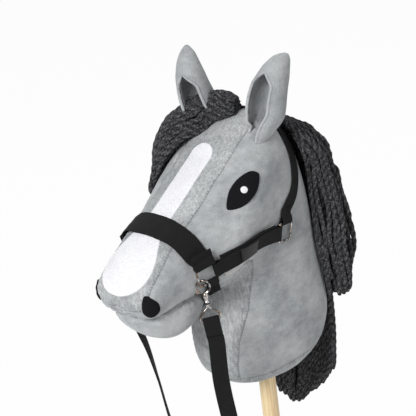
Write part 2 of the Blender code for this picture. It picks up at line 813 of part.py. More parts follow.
def make_ears():
    tool = ear_cutter()
    for word, ear in EARS.items():
        grid, ahead = ear_grid(ear, EAR_FOOT, EAR_END, 12, 11, ear[5])
        behind = along(-ahead)
        outer = show(f"{word}_ear", grid_mesh(f"{word}_ear", grid, False, behind), plush())
        thicken(outer, EAR_CLOTH, 1)
        inside = grid[:-2, 1:-1]
        sheet = grid_mesh(f"{word}_ear_lining", inside, False, behind)
        lining = show(f"{word}_ear_lining", sheet, plush())
        thicken(lining, EAR_LINING, -1, -GAP)
        cut(outer, tool)
        cut(lining, tool)


def ear_hull(word):
    """The room that an ear takes up, its cup filled, for yarn that lies round it."""
    ear = EARS[word]
    grid, _ = ear_grid(ear, EAR_FOOT, 0.97, 8, 13, ear[5] + math.radians(4))
    rings = []
    for row in grid:
        arms = row - row.mean(axis=0)
        rings.append(row + arms / np.linalg.norm(arms, axis=1)[:, None] * EAR_ROOM)
    return cutter(f"{word}_ear_room", form_mesh(f"{word}_ear_room", rings))


def ear_cutter():
    """The poll with a small rise, which the ears' feet are cut back to."""
    rings = form_rings(HEAD_SECTIONS, np.arange(8.0, 15.01, 0.25), 48, LAY_GAP)
    return cutter("poll_space", form_mesh("poll_space", rings))


# Halter rings

# A ring's centre stands over the plush by a folded strap's thickness
RING_STAND_OFF = LAY_GAP + WEBBING + GAP + RING_WIRE / 2 + 0.0004


def square_loop(inside, corner, radius, steps=3):
    """Centre-line of a rounded square ring."""
    half = inside / 2 + radius
    points = []
    for quarter in range(4):
        middle = (half - corner) * np.array([(1, 1), (-1, 1), (-1, -1), (1, -1)][quarter])
        for step in range(steps + 1):
            turn = math.pi / 2 * (quarter + step / steps)
            points.append((middle[0] + corner * math.cos(turn), middle[1] + corner * math.sin(turn), 0))
    return points


def ring_place(spot, toward, rise=0.0):
    """A frame over the plush: X along toward, Z out of the plush."""
    point, normal = SKIN.near(spot)
    x_axis = (Vector(toward) - normal * Vector(toward).dot(normal)).normalized()
    y_axis = normal.cross(x_axis)
    return frame_matrix(point + normal * (RING_STAND_OFF + rise), x_axis, y_axis, normal)


# The lower rings stand a little higher, with a hook's claw behind them
LOWER_RING_RISE = 0.0012
LOWER_RING_SPOT = (-0.1350, 0.0605, 0.2065)
LOWER_RING_TOWARD = (0.968, 0.0, 0.250)
UPPER_RING_SPOT = (-0.0050, 0.0640, 0.2110)
UPPER_RING_TOWARD = (-0.985, 0.0, 0.170)
# The bands' middles, and the points their arcs are struck round
NOSEBAND_TOP = (-0.1535, 0.0, 0.2600)
NOSEBAND_CORE = (-0.1420, 0.0, 0.2100)
CHIN_LOW = (-0.1130, 0.0, 0.1430)
CHIN_CORE = (-0.1250, 0.0, 0.1900)
# The chin strap's fold sits this far back on its bar, beside the hook
CHIN_SLIDE = 0.0032
# How far the cheek piece bows up between its rings, and the shares it is laid through
CHEEK_BOW = 0.0090
CHEEK_SHARES = (0.3, 0.5, 0.7)
CROWN_SIDE = ((0.0230, 0.0590, 0.2560), (0.0330, 0.0530, 0.2880), (0.0330, 0.0400, 0.3260))
CROWN_TOP = (0.0165, 0.0, 0.3540)


def sided(spot, side):
    return Vector((spot[0], side * spot[1], NECK_BASE + spot[2]))


def turned_to(direction, side):
    return Vector((direction[0], side * direction[1], direction[2]))


def lower_frame(side):
    return ring_place(sided(LOWER_RING_SPOT, side), LOWER_RING_TOWARD, LOWER_RING_RISE)


def upper_frame(side):
    return ring_place(sided(UPPER_RING_SPOT, side), UPPER_RING_TOWARD)


def up_sign(frame):
    """1 or -1: which way along the ring's Y axis is up."""
    return 1 if (frame.to_3x3() @ Vector((0, 1, 0))).z > 0 else -1


def make_rings():
    for side, word in ((-1, "left"), (1, "right")):
        path = square_loop(LOWER_RING_INSIDE, RING_CORNER, RING_WIRE / 2)
        wire(f"{word}_lower_ring", path, RING_WIRE / 2, steel(), True, 1, lower_frame(side))
        path = square_loop(UPPER_RING_INSIDE, RING_CORNER, RING_WIRE / 2)
        wire(f"{word}_upper_ring", path, RING_WIRE / 2, steel(), True, 1, upper_frame(side))


# Halter straps

# From a bar's middle: where a strap leaves its fold, and where it is free of the ring
BAR_START = 0.0015
BAR_LEAD = 0.0120
# A strap settles from its fold on to the plush over this length
FOLD_BLEND = 0.0200
# and widens from its fold over this many widths
FOLD_WIDEN = 1.2
# How far outside a strap's path the plush is looked for, and how far under it
STRAP_REACH = 0.012
BAND_REACH = 0.014
STRAP_DEPTH = 0.08
# Rows along the bands and the chin strap
BAND_STEP = 0.009
CHIN_STEP = 0.008


class Bar:
    """One bar of a ring, and where a strap's folded end sits on it."""

    def __init__(self, frame, toward, inside, slide=0.0):
        turn = frame.to_3x3()
        self.outward = (turn @ Vector((*toward, 0))).normalized()
        self.axis = (turn @ Vector((-toward[1], toward[0], 0))).normalized()
        self.normal = (turn @ Vector((0, 0, 1))).normalized()
        reach = inside / 2 + RING_WIRE / 2
        self.centre = frame @ Vector((toward[0] * reach, toward[1] * reach, 0)) + self.axis * slide
        self.start = self.centre + self.outward * BAR_START
        self.lead = self.centre + self.outward * BAR_LEAD

    def match(self, twin):
        """Takes the places of the bar on the horse's other side."""
        self.centre = Vector((twin.centre.x, -twin.centre.y, twin.centre.z))
        self.start = Vector((twin.start.x, -twin.start.y, twin.start.z))


def smooth_step(share):
    share = min(1.0, max(0.0, share))
    return share * share * (3 - 2 * share)


def laid_path(points, spacing):
    """A smooth path over the plush: spots, tangents and normals at about the spacing."""
    fine = through(points, np.linspace(0, len(points) - 1, 40 * len(points)))
    steps = np.linalg.norm(np.diff(fine, axis=0), axis=1)
    reach = np.concatenate([[0], np.cumsum(steps)])
    count = max(3, int(round(reach[-1] / spacing)) + 1)
    wanted = np.linspace(0, reach[-1], count)
    spots = [Vector([np.interp(far, reach, fine[:, k]) for k in range(3)]) for far in wanted]
    tangents = [(spots[min(k + 1, count - 1)] - spots[max(k - 1, 0)]).normalized() for k in range(count)]
    normals = [SKIN.near(spot)[1] for spot in spots]
    for _ in range(3):
        normals = [
            (normals[max(k - 1, 0)] + normals[k] * 2 + normals[min(k + 1, count - 1)]).normalized()
            for k in range(count)
        ]
    return spots, tangents, normals, wanted


def laid_strap(name, points, size, look, rise, columns, spacing, bars=(None, None), end_width=None):
    """A strap laid over the plush along a path, its ends led to ring bars. size: width, thickness."""
    width, thickness = size
    spots, tangents, normals, reach = laid_path(points, spacing)
    rows = []
    for k, spot in enumerate(spots):
        across = normals[k].cross(tangents[k]).normalized()
        near_end = min(reach[k], reach[-1] - reach[k])
        wide = width
        if end_width is not None:
            flare = smooth_step(near_end / (FOLD_WIDEN * width))
            wide = end_width - GAP + (width - end_width) * flare
        bar = bars[0] if reach[k] < reach[-1] / 2 else bars[1]
        hold = 1 - smooth_step(near_end / FOLD_BLEND) if bar else 0.0
        row = []
        for step in np.linspace(-0.5, 0.5, columns + 1):
            place = SKIN.hit(spot + across * wide * step, -normals[k], STRAP_REACH)
            if hold:
                sign = 1 if across.dot(bar.axis) > 0 else -1
                flat = bar.start + bar.outward * near_end + bar.axis * wide * step * sign
                place = place.lerp(flat - bar.normal * (rise + thickness / 2), hold)
            row.append(tuple(place))
        rows.append(row)
    grid = np.array(rows)
    middle = len(normals) // 2
    core = Vector(grid.reshape(-1, 3).mean(axis=0)) - normals[middle] * STRAP_DEPTH
    mesh = grid_mesh(name, grid, False, away_from(core))
    return thicken(show(name, mesh, look), thickness, 1, rise)


# A fold's bore is turned a little, so that none of its edges lies in a face of the strap
BORE_TWIST = math.radians(7)


def fold_on(strap, name, bar, length, wall=WEBBING):
    """Folds a strap's end round a bar: a tube joined to the strap, with room for the bar cut out."""
    hole = RING_WIRE / 2 + GAP
    half = bar.axis * length / 2
    start, end = bar.centre - half * 2, bar.centre + half * 2
    tube = rod_mesh(name + "_fold", bar.centre - half, bar.centre + half, hole + wall, 12)
    bore = rod_mesh(name + "_bore", start, end, hole, 12, None, BORE_TWIST)
    cut(strap, cutter(name + "_fold", tube), "UNION")
    weld(cut(strap, cutter(name + "_bore", bore)))


def band_arc(start, middle, end, centre, count):
    """Spots of a band round a limb from start over middle to end, read off the plush from outside."""
    start, middle, end, centre = (Vector(spot) for spot in (start, middle, end, centre))
    normal = (start - middle).cross(end - middle).normalized()
    centre = centre - normal * (centre - middle).dot(normal)
    up = (middle - centre).normalized()
    aside = normal.cross(up)

    def turn_of(spot):
        arm = spot - centre
        return math.atan2(arm.dot(aside), arm.dot(up))

    spots = []
    edge, top = (start - centre).length, (middle - centre).length
    for turn in np.linspace(turn_of(start), turn_of(end), count):
        outward = up * math.cos(turn) + aside * math.sin(turn)
        guess = top + (edge - top) * abs(turn / turn_of(start)) + BAND_REACH
        spots.append(tuple(SKIN.hit(centre, -outward, guess)))
    return spots


def make_halter():
    low = {side: lower_frame(side) for side in (-1, 1)}
    high = {side: upper_frame(side) for side in (-1, 1)}
    make_noseband(low)
    make_chin_strap(low)
    for piece in make_cheek(low[-1], high[-1]):
        mirror_of(piece, piece.name.replace("left", "right"), piece.data.materials[0])
    make_crown_strap(high)


def make_noseband(low):
    bars = [Bar(low[side], (0, up_sign(low[side])), LOWER_RING_INSIDE) for side in (-1, 1)]
    middle, core = sided(NOSEBAND_TOP, 1), sided(NOSEBAND_CORE, 1)
    spots = band_arc(bars[0].start, middle, bars[1].start, core, 19)
    spots = [tuple(bars[0].start)] + spots[1:-1] + [tuple(bars[1].start)]
    rise = LAY_GAP + BLAZE_THICKNESS + GAP
    size = (NOSEBAND_WIDTH, WEBBING)
    strap = laid_strap("noseband", spots, size, webbing(), rise, 4, BAND_STEP, bars, FOLD_WIDTH)
    for bar, word in zip(bars, ("left", "right")):
        fold_on(strap, f"noseband_{word}", bar, FOLD_WIDTH)


def make_chin_strap(low):
    bars = []
    for side in (-1, 1):
        bars.append(Bar(low[side], (0, -up_sign(low[side])), LOWER_RING_INSIDE, CHIN_SLIDE))
    bars[1].match(bars[0])
    middle, core = sided(CHIN_LOW, 1), sided(CHIN_CORE, 1)
    spots = band_arc(bars[0].start, middle, bars[1].start, core, 15)
    spots = [tuple(bars[0].start)] + spots[1:-1] + [tuple(bars[1].start)]
    size = (CHIN_WIDTH, WEBBING)
    rise = LAY_GAP + GAP
    strap = laid_strap("chin_strap", spots, size, webbing(), rise, 3, CHIN_STEP, bars, CHIN_FOLD)
    for bar, word in zip(bars, ("left", "right")):
        fold_on(strap, f"chin_{word}", bar, CHIN_FOLD)


def make_cheek(low, high):
    """The left cheek piece: a pale lining, a pad, the strap between two rings, and a bare patch."""
    first = Bar(low, (1, 0), LOWER_RING_INSIDE)
    second = Bar(high, (1, 0), UPPER_RING_INSIDE)
    run = second.start - first.start
    length = run.length

    def spot(share):
        bow = Vector((0, 0, CHEEK_BOW * math.sin(math.pi * share)))
        return tuple(SKIN.near(first.start + run * share + bow)[0])

    line = [tuple(first.start), tuple(first.lead)]
    line += [spot(share) for share in CHEEK_SHARES]
    line += [tuple(second.lead), tuple(second.start)]
    ends = PAD_SETBACK / length
    pad_line = [spot(share) for share in np.linspace(ends, 1 - ends, 5)]
    pale = material("pad_lining", (0.62, 0.62, 0.60), 0.9)
    rise = LAY_GAP
    size = (LINING_WIDTH, LINING_THICKNESS)
    lining = laid_strap("left_pad_lining", pad_line, size, pale, rise, 4, PAD_STEP)
    rise += LINING_THICKNESS + LAYER_GAP
    size = (PAD_WIDTH, PAD_THICKNESS)
    pad = laid_strap("left_cheek_pad", pad_line, size, webbing(), rise, 4, PAD_STEP)
    rise += PAD_THICKNESS + LAYER_GAP
    size = (CHEEK_WIDTH, WEBBING)
    bars = (first, second)
    strap = laid_strap(
        "left_cheek_strap", line, size, webbing(), rise, 4, PAD_STEP, bars, UPPER_FOLD_WIDTH
    )
    fold_on(strap, "cheek_low", first, UPPER_FOLD_WIDTH)
    fold_on(strap, "cheek_high", second, UPPER_FOLD_WIDTH)
    half = PATCH_LENGTH / 2 / length
    patch_line = [spot(share) for share in np.linspace(PATCH_PLACE - half, PATCH_PLACE + half, 3)]
    leather = material("patch_leather", (0.02, 0.02, 0.02), 0.5)
    rise += WEBBING + LAYER_GAP
    size = (PATCH_WIDTH, PATCH_THICKNESS)
    patch = laid_strap("left_patch", patch_line, size, leather, rise, 3, PATCH_LENGTH / 3)
    return lining, pad, strap, patch


def make_crown_strap(high):
    bars = [Bar(high[side], (0, up_sign(high[side])), UPPER_RING_INSIDE) for side in (-1, 1)]
    halves = []
    for bar, side in zip(bars, (-1, 1)):
        climb = [tuple(SKIN.near(sided(spot, side))[0]) for spot in CROWN_SIDE]
        halves.append([tuple(bar.start), tuple(bar.lead)] + climb)
    middle = tuple(SKIN.near(sided(CROWN_TOP, 1))[0])
    line = halves[0] + [middle] + halves[1][::-1]
    size = (CROWN_WIDTH, WEBBING)
    rise = LAY_GAP + GAP
    strap = laid_strap(
        "crown_strap", line, size, webbing(), rise, 4, BAND_STEP, bars, UPPER_FOLD_WIDTH
    )
    for bar, word in zip(bars, ("left", "right")):
        fold_on(strap, f"crown_{word}", bar, UPPER_FOLD_WIDTH)


# Snap hooks

def hook_frame(side):
    """A hook's own frame: origin at its mouth's centre, Z up the hook, X toward the back of the mouth."""
    frame = lower_frame(side)
    half = LOWER_RING_INSIDE / 2 + RING_WIRE / 2
    reach = half - RING_CORNER * (1 - math.sqrt(0.5))
    corner = frame @ Vector((-reach, -up_sign(frame) * reach, 0))
    z_axis = Vector((HOOK_LEAN[0], side * HOOK_LEAN[1], 1)).normalized()
    x_axis = Vector((HOOK_TURN[0], side * HOOK_TURN[1], 0))
    x_axis = (x_axis - z_axis * x_axis.dot(z_axis)).normalized()
    y_axis = z_axis.cross(x_axis)
    mouth = corner - z_axis * HOOK_DROP + x_axis * HOOK_SLIDE
    return frame_matrix(mouth, x_axis, y_axis, z_axis)


def swivel_frame(side):
    """The swivel's frame: origin at its top on the shank's axis, X along the D loop's bar."""
    hook = hook_frame(side)
    drop = HOOK_MOUTH_RADIUS + HOOK_WIRE + HOOK_SHANK_LENGTH + GAP
    z_axis = (hook.to_3x3() @ Vector((0, 0, 1))).normalized()
    x_axis = Vector((LOOP_TURN[0], side * LOOP_TURN[1], 0))
    x_axis = (x_axis - z_axis * x_axis.dot(z_axis)).normalized()
    y_axis = z_axis.cross(x_axis)
    return frame_matrix(hook @ Vector((0, 0, -drop)), x_axis, y_axis, z_axis)


def bar_frame(side):
    """The D loop's bar: X along the bar, -Z away from the hook."""
    return swivel_frame(side) @ Matrix.Translation((0, 0, -SWIVEL_LENGTH - D_LOOP_HEIGHT))


def arc_points(radius, start, end, count):
    turns = np.linspace(start, end, count)
    return [(radius * math.cos(turn), 0, radius * math.sin(turn)) for turn in turns]


def make_hooks():
    for side, word in ((-1, "left"), (1, "right")):
        make_hook(word, hook_frame(side))
        make_gate(word, hook_frame(side))
        make_swivel(word, swivel_frame(side))


def make_hook(word, place):
    """The claw's arc, left open where the gate closes it, on a tapered shank."""
    centre = HOOK_MOUTH_RADIUS + HOOK_WIRE / 2
    arc = arc_points(centre, math.radians(-90), math.radians(270) - GATE_OPENING, 17)
    claw = wire(f"{word}_hook", arc, HOOK_WIRE / 2, steel(), False, 2, place)
    top = place @ Vector((0, 0, -(centre - HOOK_WIRE / 4)))
    bottom = place @ Vector((0, 0, -(centre + HOOK_WIRE / 2 + HOOK_SHANK_LENGTH)))
    shank = rod_mesh(f"{word}_shank", bottom, top, SHANK_LOW / 2, 12, SHANK_HIGH / 2)
    cut(claw, cutter(f"{word}_shank", shank), "UNION")


def make_gate(word, place):
    """A short curved bolt that closes the mouth, with a thumb knob; it turns about its lower end."""
    centre = HOOK_MOUTH_RADIUS + HOOK_WIRE / 2
    first = math.radians(270) - GATE_OPENING + GATE_CLEAR / centre
    last = math.radians(270) - GATE_HEEL
    pivot = place @ Vector((centre * math.cos(last), 0, centre * math.sin(last)))
    arc = arc_points(centre, first, last, 6)
    gate = wire(f"{word}_gate", arc, GATE_WIRE / 2, steel(), False, 1, place)
    turn = first + (last - first) * THUMB_PLACE
    spoke = Vector((math.cos(turn), 0, math.sin(turn)))
    tip = place @ (spoke * (centre + THUMB_STEM))
    stem = rod_mesh(f"{word}_stem", place @ (spoke * centre), tip, THUMB_KNOB / 4, 8)
    under = place @ (spoke * (centre + THUMB_STEM - THUMB_HEIGHT))
    knob = rod_mesh(f"{word}_knob", under, tip, THUMB_KNOB / 2, 10)
    cut(gate, cutter(f"{word}_stem", stem), "UNION")
    cut(gate, cutter(f"{word}_knob", knob), "UNION")
    turn_about(gate, pivot)


def make_swivel(word, place):
    """The swivel barrel and the D loop that hangs from it."""
    low = place @ Vector((0, 0, -SWIVEL_LENGTH))
    barrel = rod_mesh(f"{word}_swivel", low, place.translation, SWIVEL_DIAMETER / 2, 12)
    loop_place = place @ Matrix.Translation((0, 0, -SWIVEL_LENGTH))
    loop = wire(f"{word}_d_loop", d_loop_path(), D_LOOP_WIRE / 2, None, True, 1, loop_place)
    swivel = cut(show(f"{word}_swivel", barrel, steel()), loop, "UNION")
    turn_about(swivel, place.translation)


def d_loop_path():
    """A loop with an apex at the swivel, two shoulders and a bar at the bottom, its corners rounded."""
    half = D_LOOP_INSIDE / 2 + D_LOOP_WIRE / 2
    shoulder = -D_LOOP_HEIGHT + D_LOOP_SIDE
    corners = [
        (0.0, D_LOOP_APEX),
        (half, shoulder),
        (half, -D_LOOP_HEIGHT),
        (-half, -D_LOOP_HEIGHT),
        (-half, shoulder),
    ]
    points = []
    for k, here in enumerate(np.array(corners)):
        before = np.array(corners[k - 1]) - here
        after = np.array(corners[(k + 1) % len(corners)]) - here
        first = here + before / np.linalg.norm(before) * D_LOOP_CORNER
        last = here + after / np.linalg.norm(after) * D_LOOP_CORNER
        for share in (0.0, 0.5, 1.0):
            spot = (1 - share) ** 2 * first + 2 * share * (1 - share) * here + share**2 * last
            points.append((spot[0], 0, spot[1]))
    return points


# Rein

def box_mesh(name, size, place):
    def build(work):
        bmesh.ops.create_cube(work, size=1, matrix=place @ Matrix.Diagonal((*size, 1)))

    return mesh_from(build, name)


def make_rein_ends():
    hole = D_LOOP_WIRE / 2 + GAP
    outer = hole + REIN_THICKNESS
    arm = Vector((REIN_WIDTH / 2, 0, 0))
    for side, word in ((-1, "left"), (1, "right")):
        place = bar_frame(side)
        tube = rod_mesh(f"{word}_rein_end", place @ -arm, place @ arm, outer, 14)
        fold = show(f"{word}_rein_end", tube, webbing())
        flat = place @ Matrix.Translation((0, 0, -FOLD_LENGTH / 2))
        tail = box_mesh(f"{word}_tail", (REIN_WIDTH, 2 * REIN_THICKNESS, FOLD_LENGTH), flat)
        bore = rod_mesh(f"{word}_bar_hole", place @ (arm * -2), place @ (arm * 2), hole, 14)
        cut(fold, cutter(f"{word}_tail", tail), "UNION")
        cut(fold, cutter(f"{word}_bar_hole", bore))
        turn_about(fold, swivel_frame(side).translation)


# The rein's route between its folded ends, chosen by hand: down the left side, behind the stick
# and up the right side
REIN_ROUTE = (
    (-0.1462, -0.0765, 0.6550),
    (-0.1395, -0.0750, 0.6000),
    (-0.1305, -0.0740, 0.5400),
    (-0.1195, -0.0730, 0.4800),
    (-0.1065, -0.0710, 0.4200),
    (-0.0905, -0.0680, 0.3600),
    (-0.0700, -0.0630, 0.3050),
    (-0.0470, -0.0550, 0.2570),
    (-0.0210, -0.0430, 0.2190),
    (0.0060, -0.0270, 0.1950),
    (0.0240, 0.0000, 0.1850),
    (0.0080, 0.0270, 0.1950),
    (-0.0160, 0.0430, 0.2190),
    (-0.0400, 0.0550, 0.2570),
    (-0.0610, 0.0630, 0.3050),
    (-0.0770, 0.0680, 0.3600),
    (-0.0900, 0.0710, 0.4200),
    (-0.1000, 0.0725, 0.4800),
    (-0.1120, 0.0735, 0.5400),
    (-0.1215, 0.0730, 0.6000),
    (-0.1320, 0.0740, 0.6550),
)
# The web leaves each fold straight over this length
REIN_LEAD = 0.010
REIN_ROWS = 70
# Which way the web's width points, by share of its length
REIN_HEADINGS = (
    (0.06, (0.76, -0.65, 0.0)),
    (0.25, (0.80, -0.60, 0.0)),
    (0.40, (0.95, -0.30, 0.0)),
    (0.50, (1.00, 0.00, 0.0)),
    (0.60, (0.95, 0.25, 0.0)),
    (0.78, (0.66, 0.75, 0.0)),
    (0.90, (0.62, 0.78, 0.0)),
    (0.96, (0.80, 0.60, 0.0)),
)


def make_rein():
    """One flat web along the route, its width turning slowly between the two D loops."""
    left, right = bar_frame(-1), bar_frame(1)
    leave = Vector((0, 0, -(FOLD_LENGTH + GAP)))
    steady = Vector((0, 0, -(FOLD_LENGTH + REIN_LEAD)))
    route = [left @ leave, left @ steady, *REIN_ROUTE, right @ steady, right @ leave]
    route = [tuple(spot) for spot in route]
    fine = through(route, np.linspace(0, len(route) - 1, 600))
    reach = np.concatenate([[0], np.cumsum(np.linalg.norm(np.diff(fine, axis=0), axis=1))])
    wanted = np.linspace(0, reach[-1], REIN_ROWS)
    spots = [Vector([np.interp(far, reach, fine[:, k]) for k in range(3)]) for far in wanted]
    first = left.to_3x3() @ Vector((1, 0, 0))
    last = right.to_3x3() @ Vector((1, 0, 0))
    headings = ((0.0, tuple(first)), *REIN_HEADINGS, (1.0, tuple(last)))
    shares = [share for share, _ in headings]
    ways = np.array([way for _, way in headings])
    final = REIN_ROWS - 1
    rings = []
    for k, spot in enumerate(spots):
        heading = Vector([np.interp(k / final, shares, ways[:, axis]) for axis in range(3)])
        tangent = (spots[min(k + 1, final)] - spots[max(k - 1, 0)]).normalized()
        if k == 0:
            tangent = left.to_3x3() @ Vector((0, 0, -1))
        if k == final:
            tangent = right.to_3x3() @ Vector((0, 0, 1))
        wide = (heading - tangent * heading.dot(tangent)).normalized() * REIN_WIDTH / 2
        thick = tangent.cross(wide).normalized() * REIN_THICKNESS / 2
        rings.append([spot - wide - thick, spot + wide - thick, spot + wide + thick, spot - wide + thick])
    print("rein length", round(float(reach[-1]), 4))
    show("rein", form_mesh("rein", rings), webbing())


# Mane and forelock

def back_radius(height, turn):
    """How far the plush reaches from the stick's axis at a height and a turn."""
    outward = Vector((math.cos(turn), math.sin(turn), 0))
    place, _, _, _ = SKIN.tree.ray_cast(Vector((0, 0, height)) + outward * 0.3, -outward)
    return 0.0 if place is None else Vector((place.x, place.y, 0)).dot(outward)


def read_rows(table, height):
    """A row of a table at a height, between its rows."""
    rising = np.array(table[::-1])
    return [np.interp(height, rising[:, 0], rising[:, k]) for k in range(1, rising.shape[1])]


# The upper fall: height over the neck's base, near and far edge in degrees round the stick's axis
# from straight behind, and reach from that axis
UPPER_FALL = (
    (0.340, -36, 36, 0.0640),
    (0.333, -42, 42, 0.0750),
    (0.322, -46, 50, 0.0915),
    (0.308, -48, 56, 0.1070),
    (0.290, -48, 62, 0.1215),
    (0.270, -42, 66, 0.1320),
    (0.235, -40, 70, 0.1430),
    (0.200, -43, 72, 0.1485),
    (0.170, -45, 72, 0.1520),
    (0.140, -44, 72, 0.1525),
    (0.118, -41, 72, 0.1495),
    (0.100, -39, 71, 0.1450),
    (0.080, -38, 70, 0.1380),
    (0.052, -34, 64, 0.1260),
)
# The lower fall hangs free past the neck's base, between the neck and the upper fall
LOWER_FALL = (
    (0.110, -12, 46, 0.0042),
    (0.098, -16, 46, 0.0080),
    (0.080, -18, 46, 0.0140),
    (0.052, -18, 46, 0.0160),
    (0.010, -18, 45, 0.0180),
    (-0.030, -16, 44, 0.0190),
    (-0.070, -8, 42, 0.0190),
    (-0.095, 4, 38, 0.0170),
    (-0.108, 10, 34, 0.0120),
)
MANE_LIFT = 0.0032
TAPE_LIFT = 0.0025
# More room at the poll, over the crown strap, from a height on and over a rise
POLL_LIFT = 0.0060
POLL_FROM = 0.230
POLL_RISE = 0.060
# Between the two falls, beside the lower one in degrees, and above its top
FALL_GAP = 0.0043
FALL_ASIDE = 14
FALL_LEAD = 0.012
# Below this height the lower fall hangs free, and by its end it has drawn in this much
LOWER_TUCK = 0.070
LOWER_DRAWN = 0.010
LOWER_DROP = 0.200
# A fall's thinnest place, and the turns of the waves over its face, across and from row to row
FALL_LEAST = 0.004
FALL_WAVES = 19
FALL_SHIFT = 0.35
UPPER_WAVE = 0.0030
LOWER_WAVE = 0.0015
# How thick each fall is at its side edges, as a share of its middle
UPPER_EDGE = 0.25
LOWER_EDGE = 0.35


def lower_inner(over, turn):
    """The lower fall's inner radius: on the plush above, hanging plumb below the neck's widest line."""
    widest = back_radius(NECK_BASE + LOWER_TUCK, turn) + TAPE_LIFT
    if over > LOWER_TUCK:
        return back_radius(NECK_BASE + over, turn) + TAPE_LIFT
    return widest - LOWER_DRAWN * smooth_step((LOWER_TUCK - over) / LOWER_DROP)


def fall(name, rows, columns, wave, inner, body):
    """A fall of yarn as one closed body: rows of (height, turn from, turn to, size)."""
    rings = []
    for k, (over, turn_from, turn_to, size) in enumerate(rows):
        inside, outside = [], []
        for share in np.linspace(0, 1, columns):
            turn = math.radians(turn_from + (turn_to - turn_from) * share)
            edge = math.sin(math.pi * (0.06 + 0.88 * share)) ** 0.5
            low = inner(over, turn)
            ripple = math.sin(share * FALL_WAVES + k * FALL_SHIFT)
            high = max(body(low, size, edge) + wave * ripple * edge, low + FALL_LEAST)
            inside.append((low * math.cos(turn), low * math.sin(turn), NECK_BASE + over))
            outside.append((high * math.cos(turn), high * math.sin(turn), NECK_BASE + over))
        rings.append(np.array(inside + outside[::-1]))
    return show(name, form_mesh(name, rings), yarn())


def make_mane():
    line = [tuple(SKIN.near(skin_points(HEAD_SECTIONS, number, 0.0))[0]) for number in TAPE_ROWS]
    size = (MANE_TAPE_WIDTH, MANE_TAPE_THICKNESS)
    laid_strap("mane_tape", line, size, yarn(), LAY_GAP, 2, TAPE_STEP)

    def upper_inner(over, turn):
        poll = POLL_LIFT * smooth_step((over - POLL_FROM) / POLL_RISE)
        plain = back_radius(NECK_BASE + over, turn) + MANE_LIFT + poll
        if over > LOWER_FALL[0][0] + FALL_LEAD:
            return plain
        edges = read_rows(LOWER_FALL, over)
        degrees = math.degrees(turn)
        inside = smooth_step((degrees - edges[0] + FALL_ASIDE) / FALL_ASIDE)
        inside *= smooth_step((edges[1] + FALL_ASIDE - degrees) / FALL_ASIDE)
        return max(plain, plain + (lower_inner(over, turn) - plain + edges[2] + FALL_GAP) * inside)

    def upper_outer(low, size, edge):
        return low + (size - low) * (UPPER_EDGE + (1 - UPPER_EDGE) * edge)

    def lower_outer(low, size, edge):
        return low + size * (LOWER_EDGE + (1 - LOWER_EDGE) * edge)

    fall("upper_mane", UPPER_FALL, 13, UPPER_WAVE, upper_inner, upper_outer)
    fall("lower_mane", LOWER_FALL, 9, LOWER_WAVE, lower_inner, lower_outer)


# The forelock's middle line over the forehead, from the poll to the right cheek: a spot, the width
# and the height of the bundle there
FORELOCK = (
    ((-0.0010, -0.0060, 0.3560), 0.024, 0.016),
    ((-0.0060, 0.0070, 0.3550), 0.038, 0.027),
    ((-0.0120, 0.0240, 0.3520), 0.046, 0.029),
    ((-0.0225, 0.0400, 0.3440), 0.052, 0.030),
    ((-0.0391, 0.0550, 0.3350), 0.054, 0.032),
    ((-0.0510, 0.0680, 0.3230), 0.046, 0.029),
    ((-0.0630, 0.0780, 0.3070), 0.032, 0.022),
    ((-0.0710, 0.0820, 0.2880), 0.016, 0.012),
    ((-0.0780, 0.0810, 0.2640), 0.011, 0.009),
    ((-0.0800, 0.0800, 0.2560), 0.009, 0.007),
)


def make_forelock():
    spots = [Vector((x, y, NECK_BASE + z)) for (x, y, z), _, _ in FORELOCK]
    laid = [SKIN.near(spot) for spot in spots]
    last = len(spots) - 1
    rings = []
    for k, (place, normal) in enumerate(laid):
        tangent = (laid[min(k + 1, last)][0] - laid[max(k - 1, 0)][0]).normalized()
        across = normal.cross(tangent).normalized()
        _, width, height = FORELOCK[k]
        ring = []
        for turn in ring_angles(16):
            side = math.cos(turn) * width / 2
            rise = math.sin(turn)
            rise = rise * height if rise > 0 else rise * FORELOCK_UNDER
            ring.append(tuple(place + across * side + normal * (rise + FORELOCK_LIFT)))
        rings.append(ring)
    lock = show("forelock", form_mesh("forelock", rings), yarn())
    cut(lock, forelock_space())
    weld(cut(lock, ear_hull("right")))


def forelock_space():
    """The head with room for the eye, which the forelock's underside is cut back to."""
    rings = form_rings(HEAD_SECTIONS, np.arange(8.0, 17.6, 0.5), 32, FORELOCK_LIFT)
    return cutter("forelock_space", form_mesh("forelock_space", rings))


clear_scene()
make_stick()
make_pocket()
make_skin()
make_fillings()
make_cover()
make_face()
make_ears()
make_rings()
make_halter()
make_hooks()
make_rein_ends()
make_rein()
make_mane()
make_forelock()
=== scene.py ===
# %% [markdown]
# # A plush hobby horse, dressed in its looks
# The frame holds the horse's solids in their true places. Each cell below makes one piece of the
# real toy over them: plush, felt, webbing, metal, yarn and pine. Everything is in metres, the horse
# looks along -X and its left side faces -Y.

# %% The fixed frame
import math

import bmesh
import bpy
import numpy as np
from mathutils import Matrix, Vector, noise
from mathutils.bvhtree import BVHTree
from mathutils.kdtree import KDTree


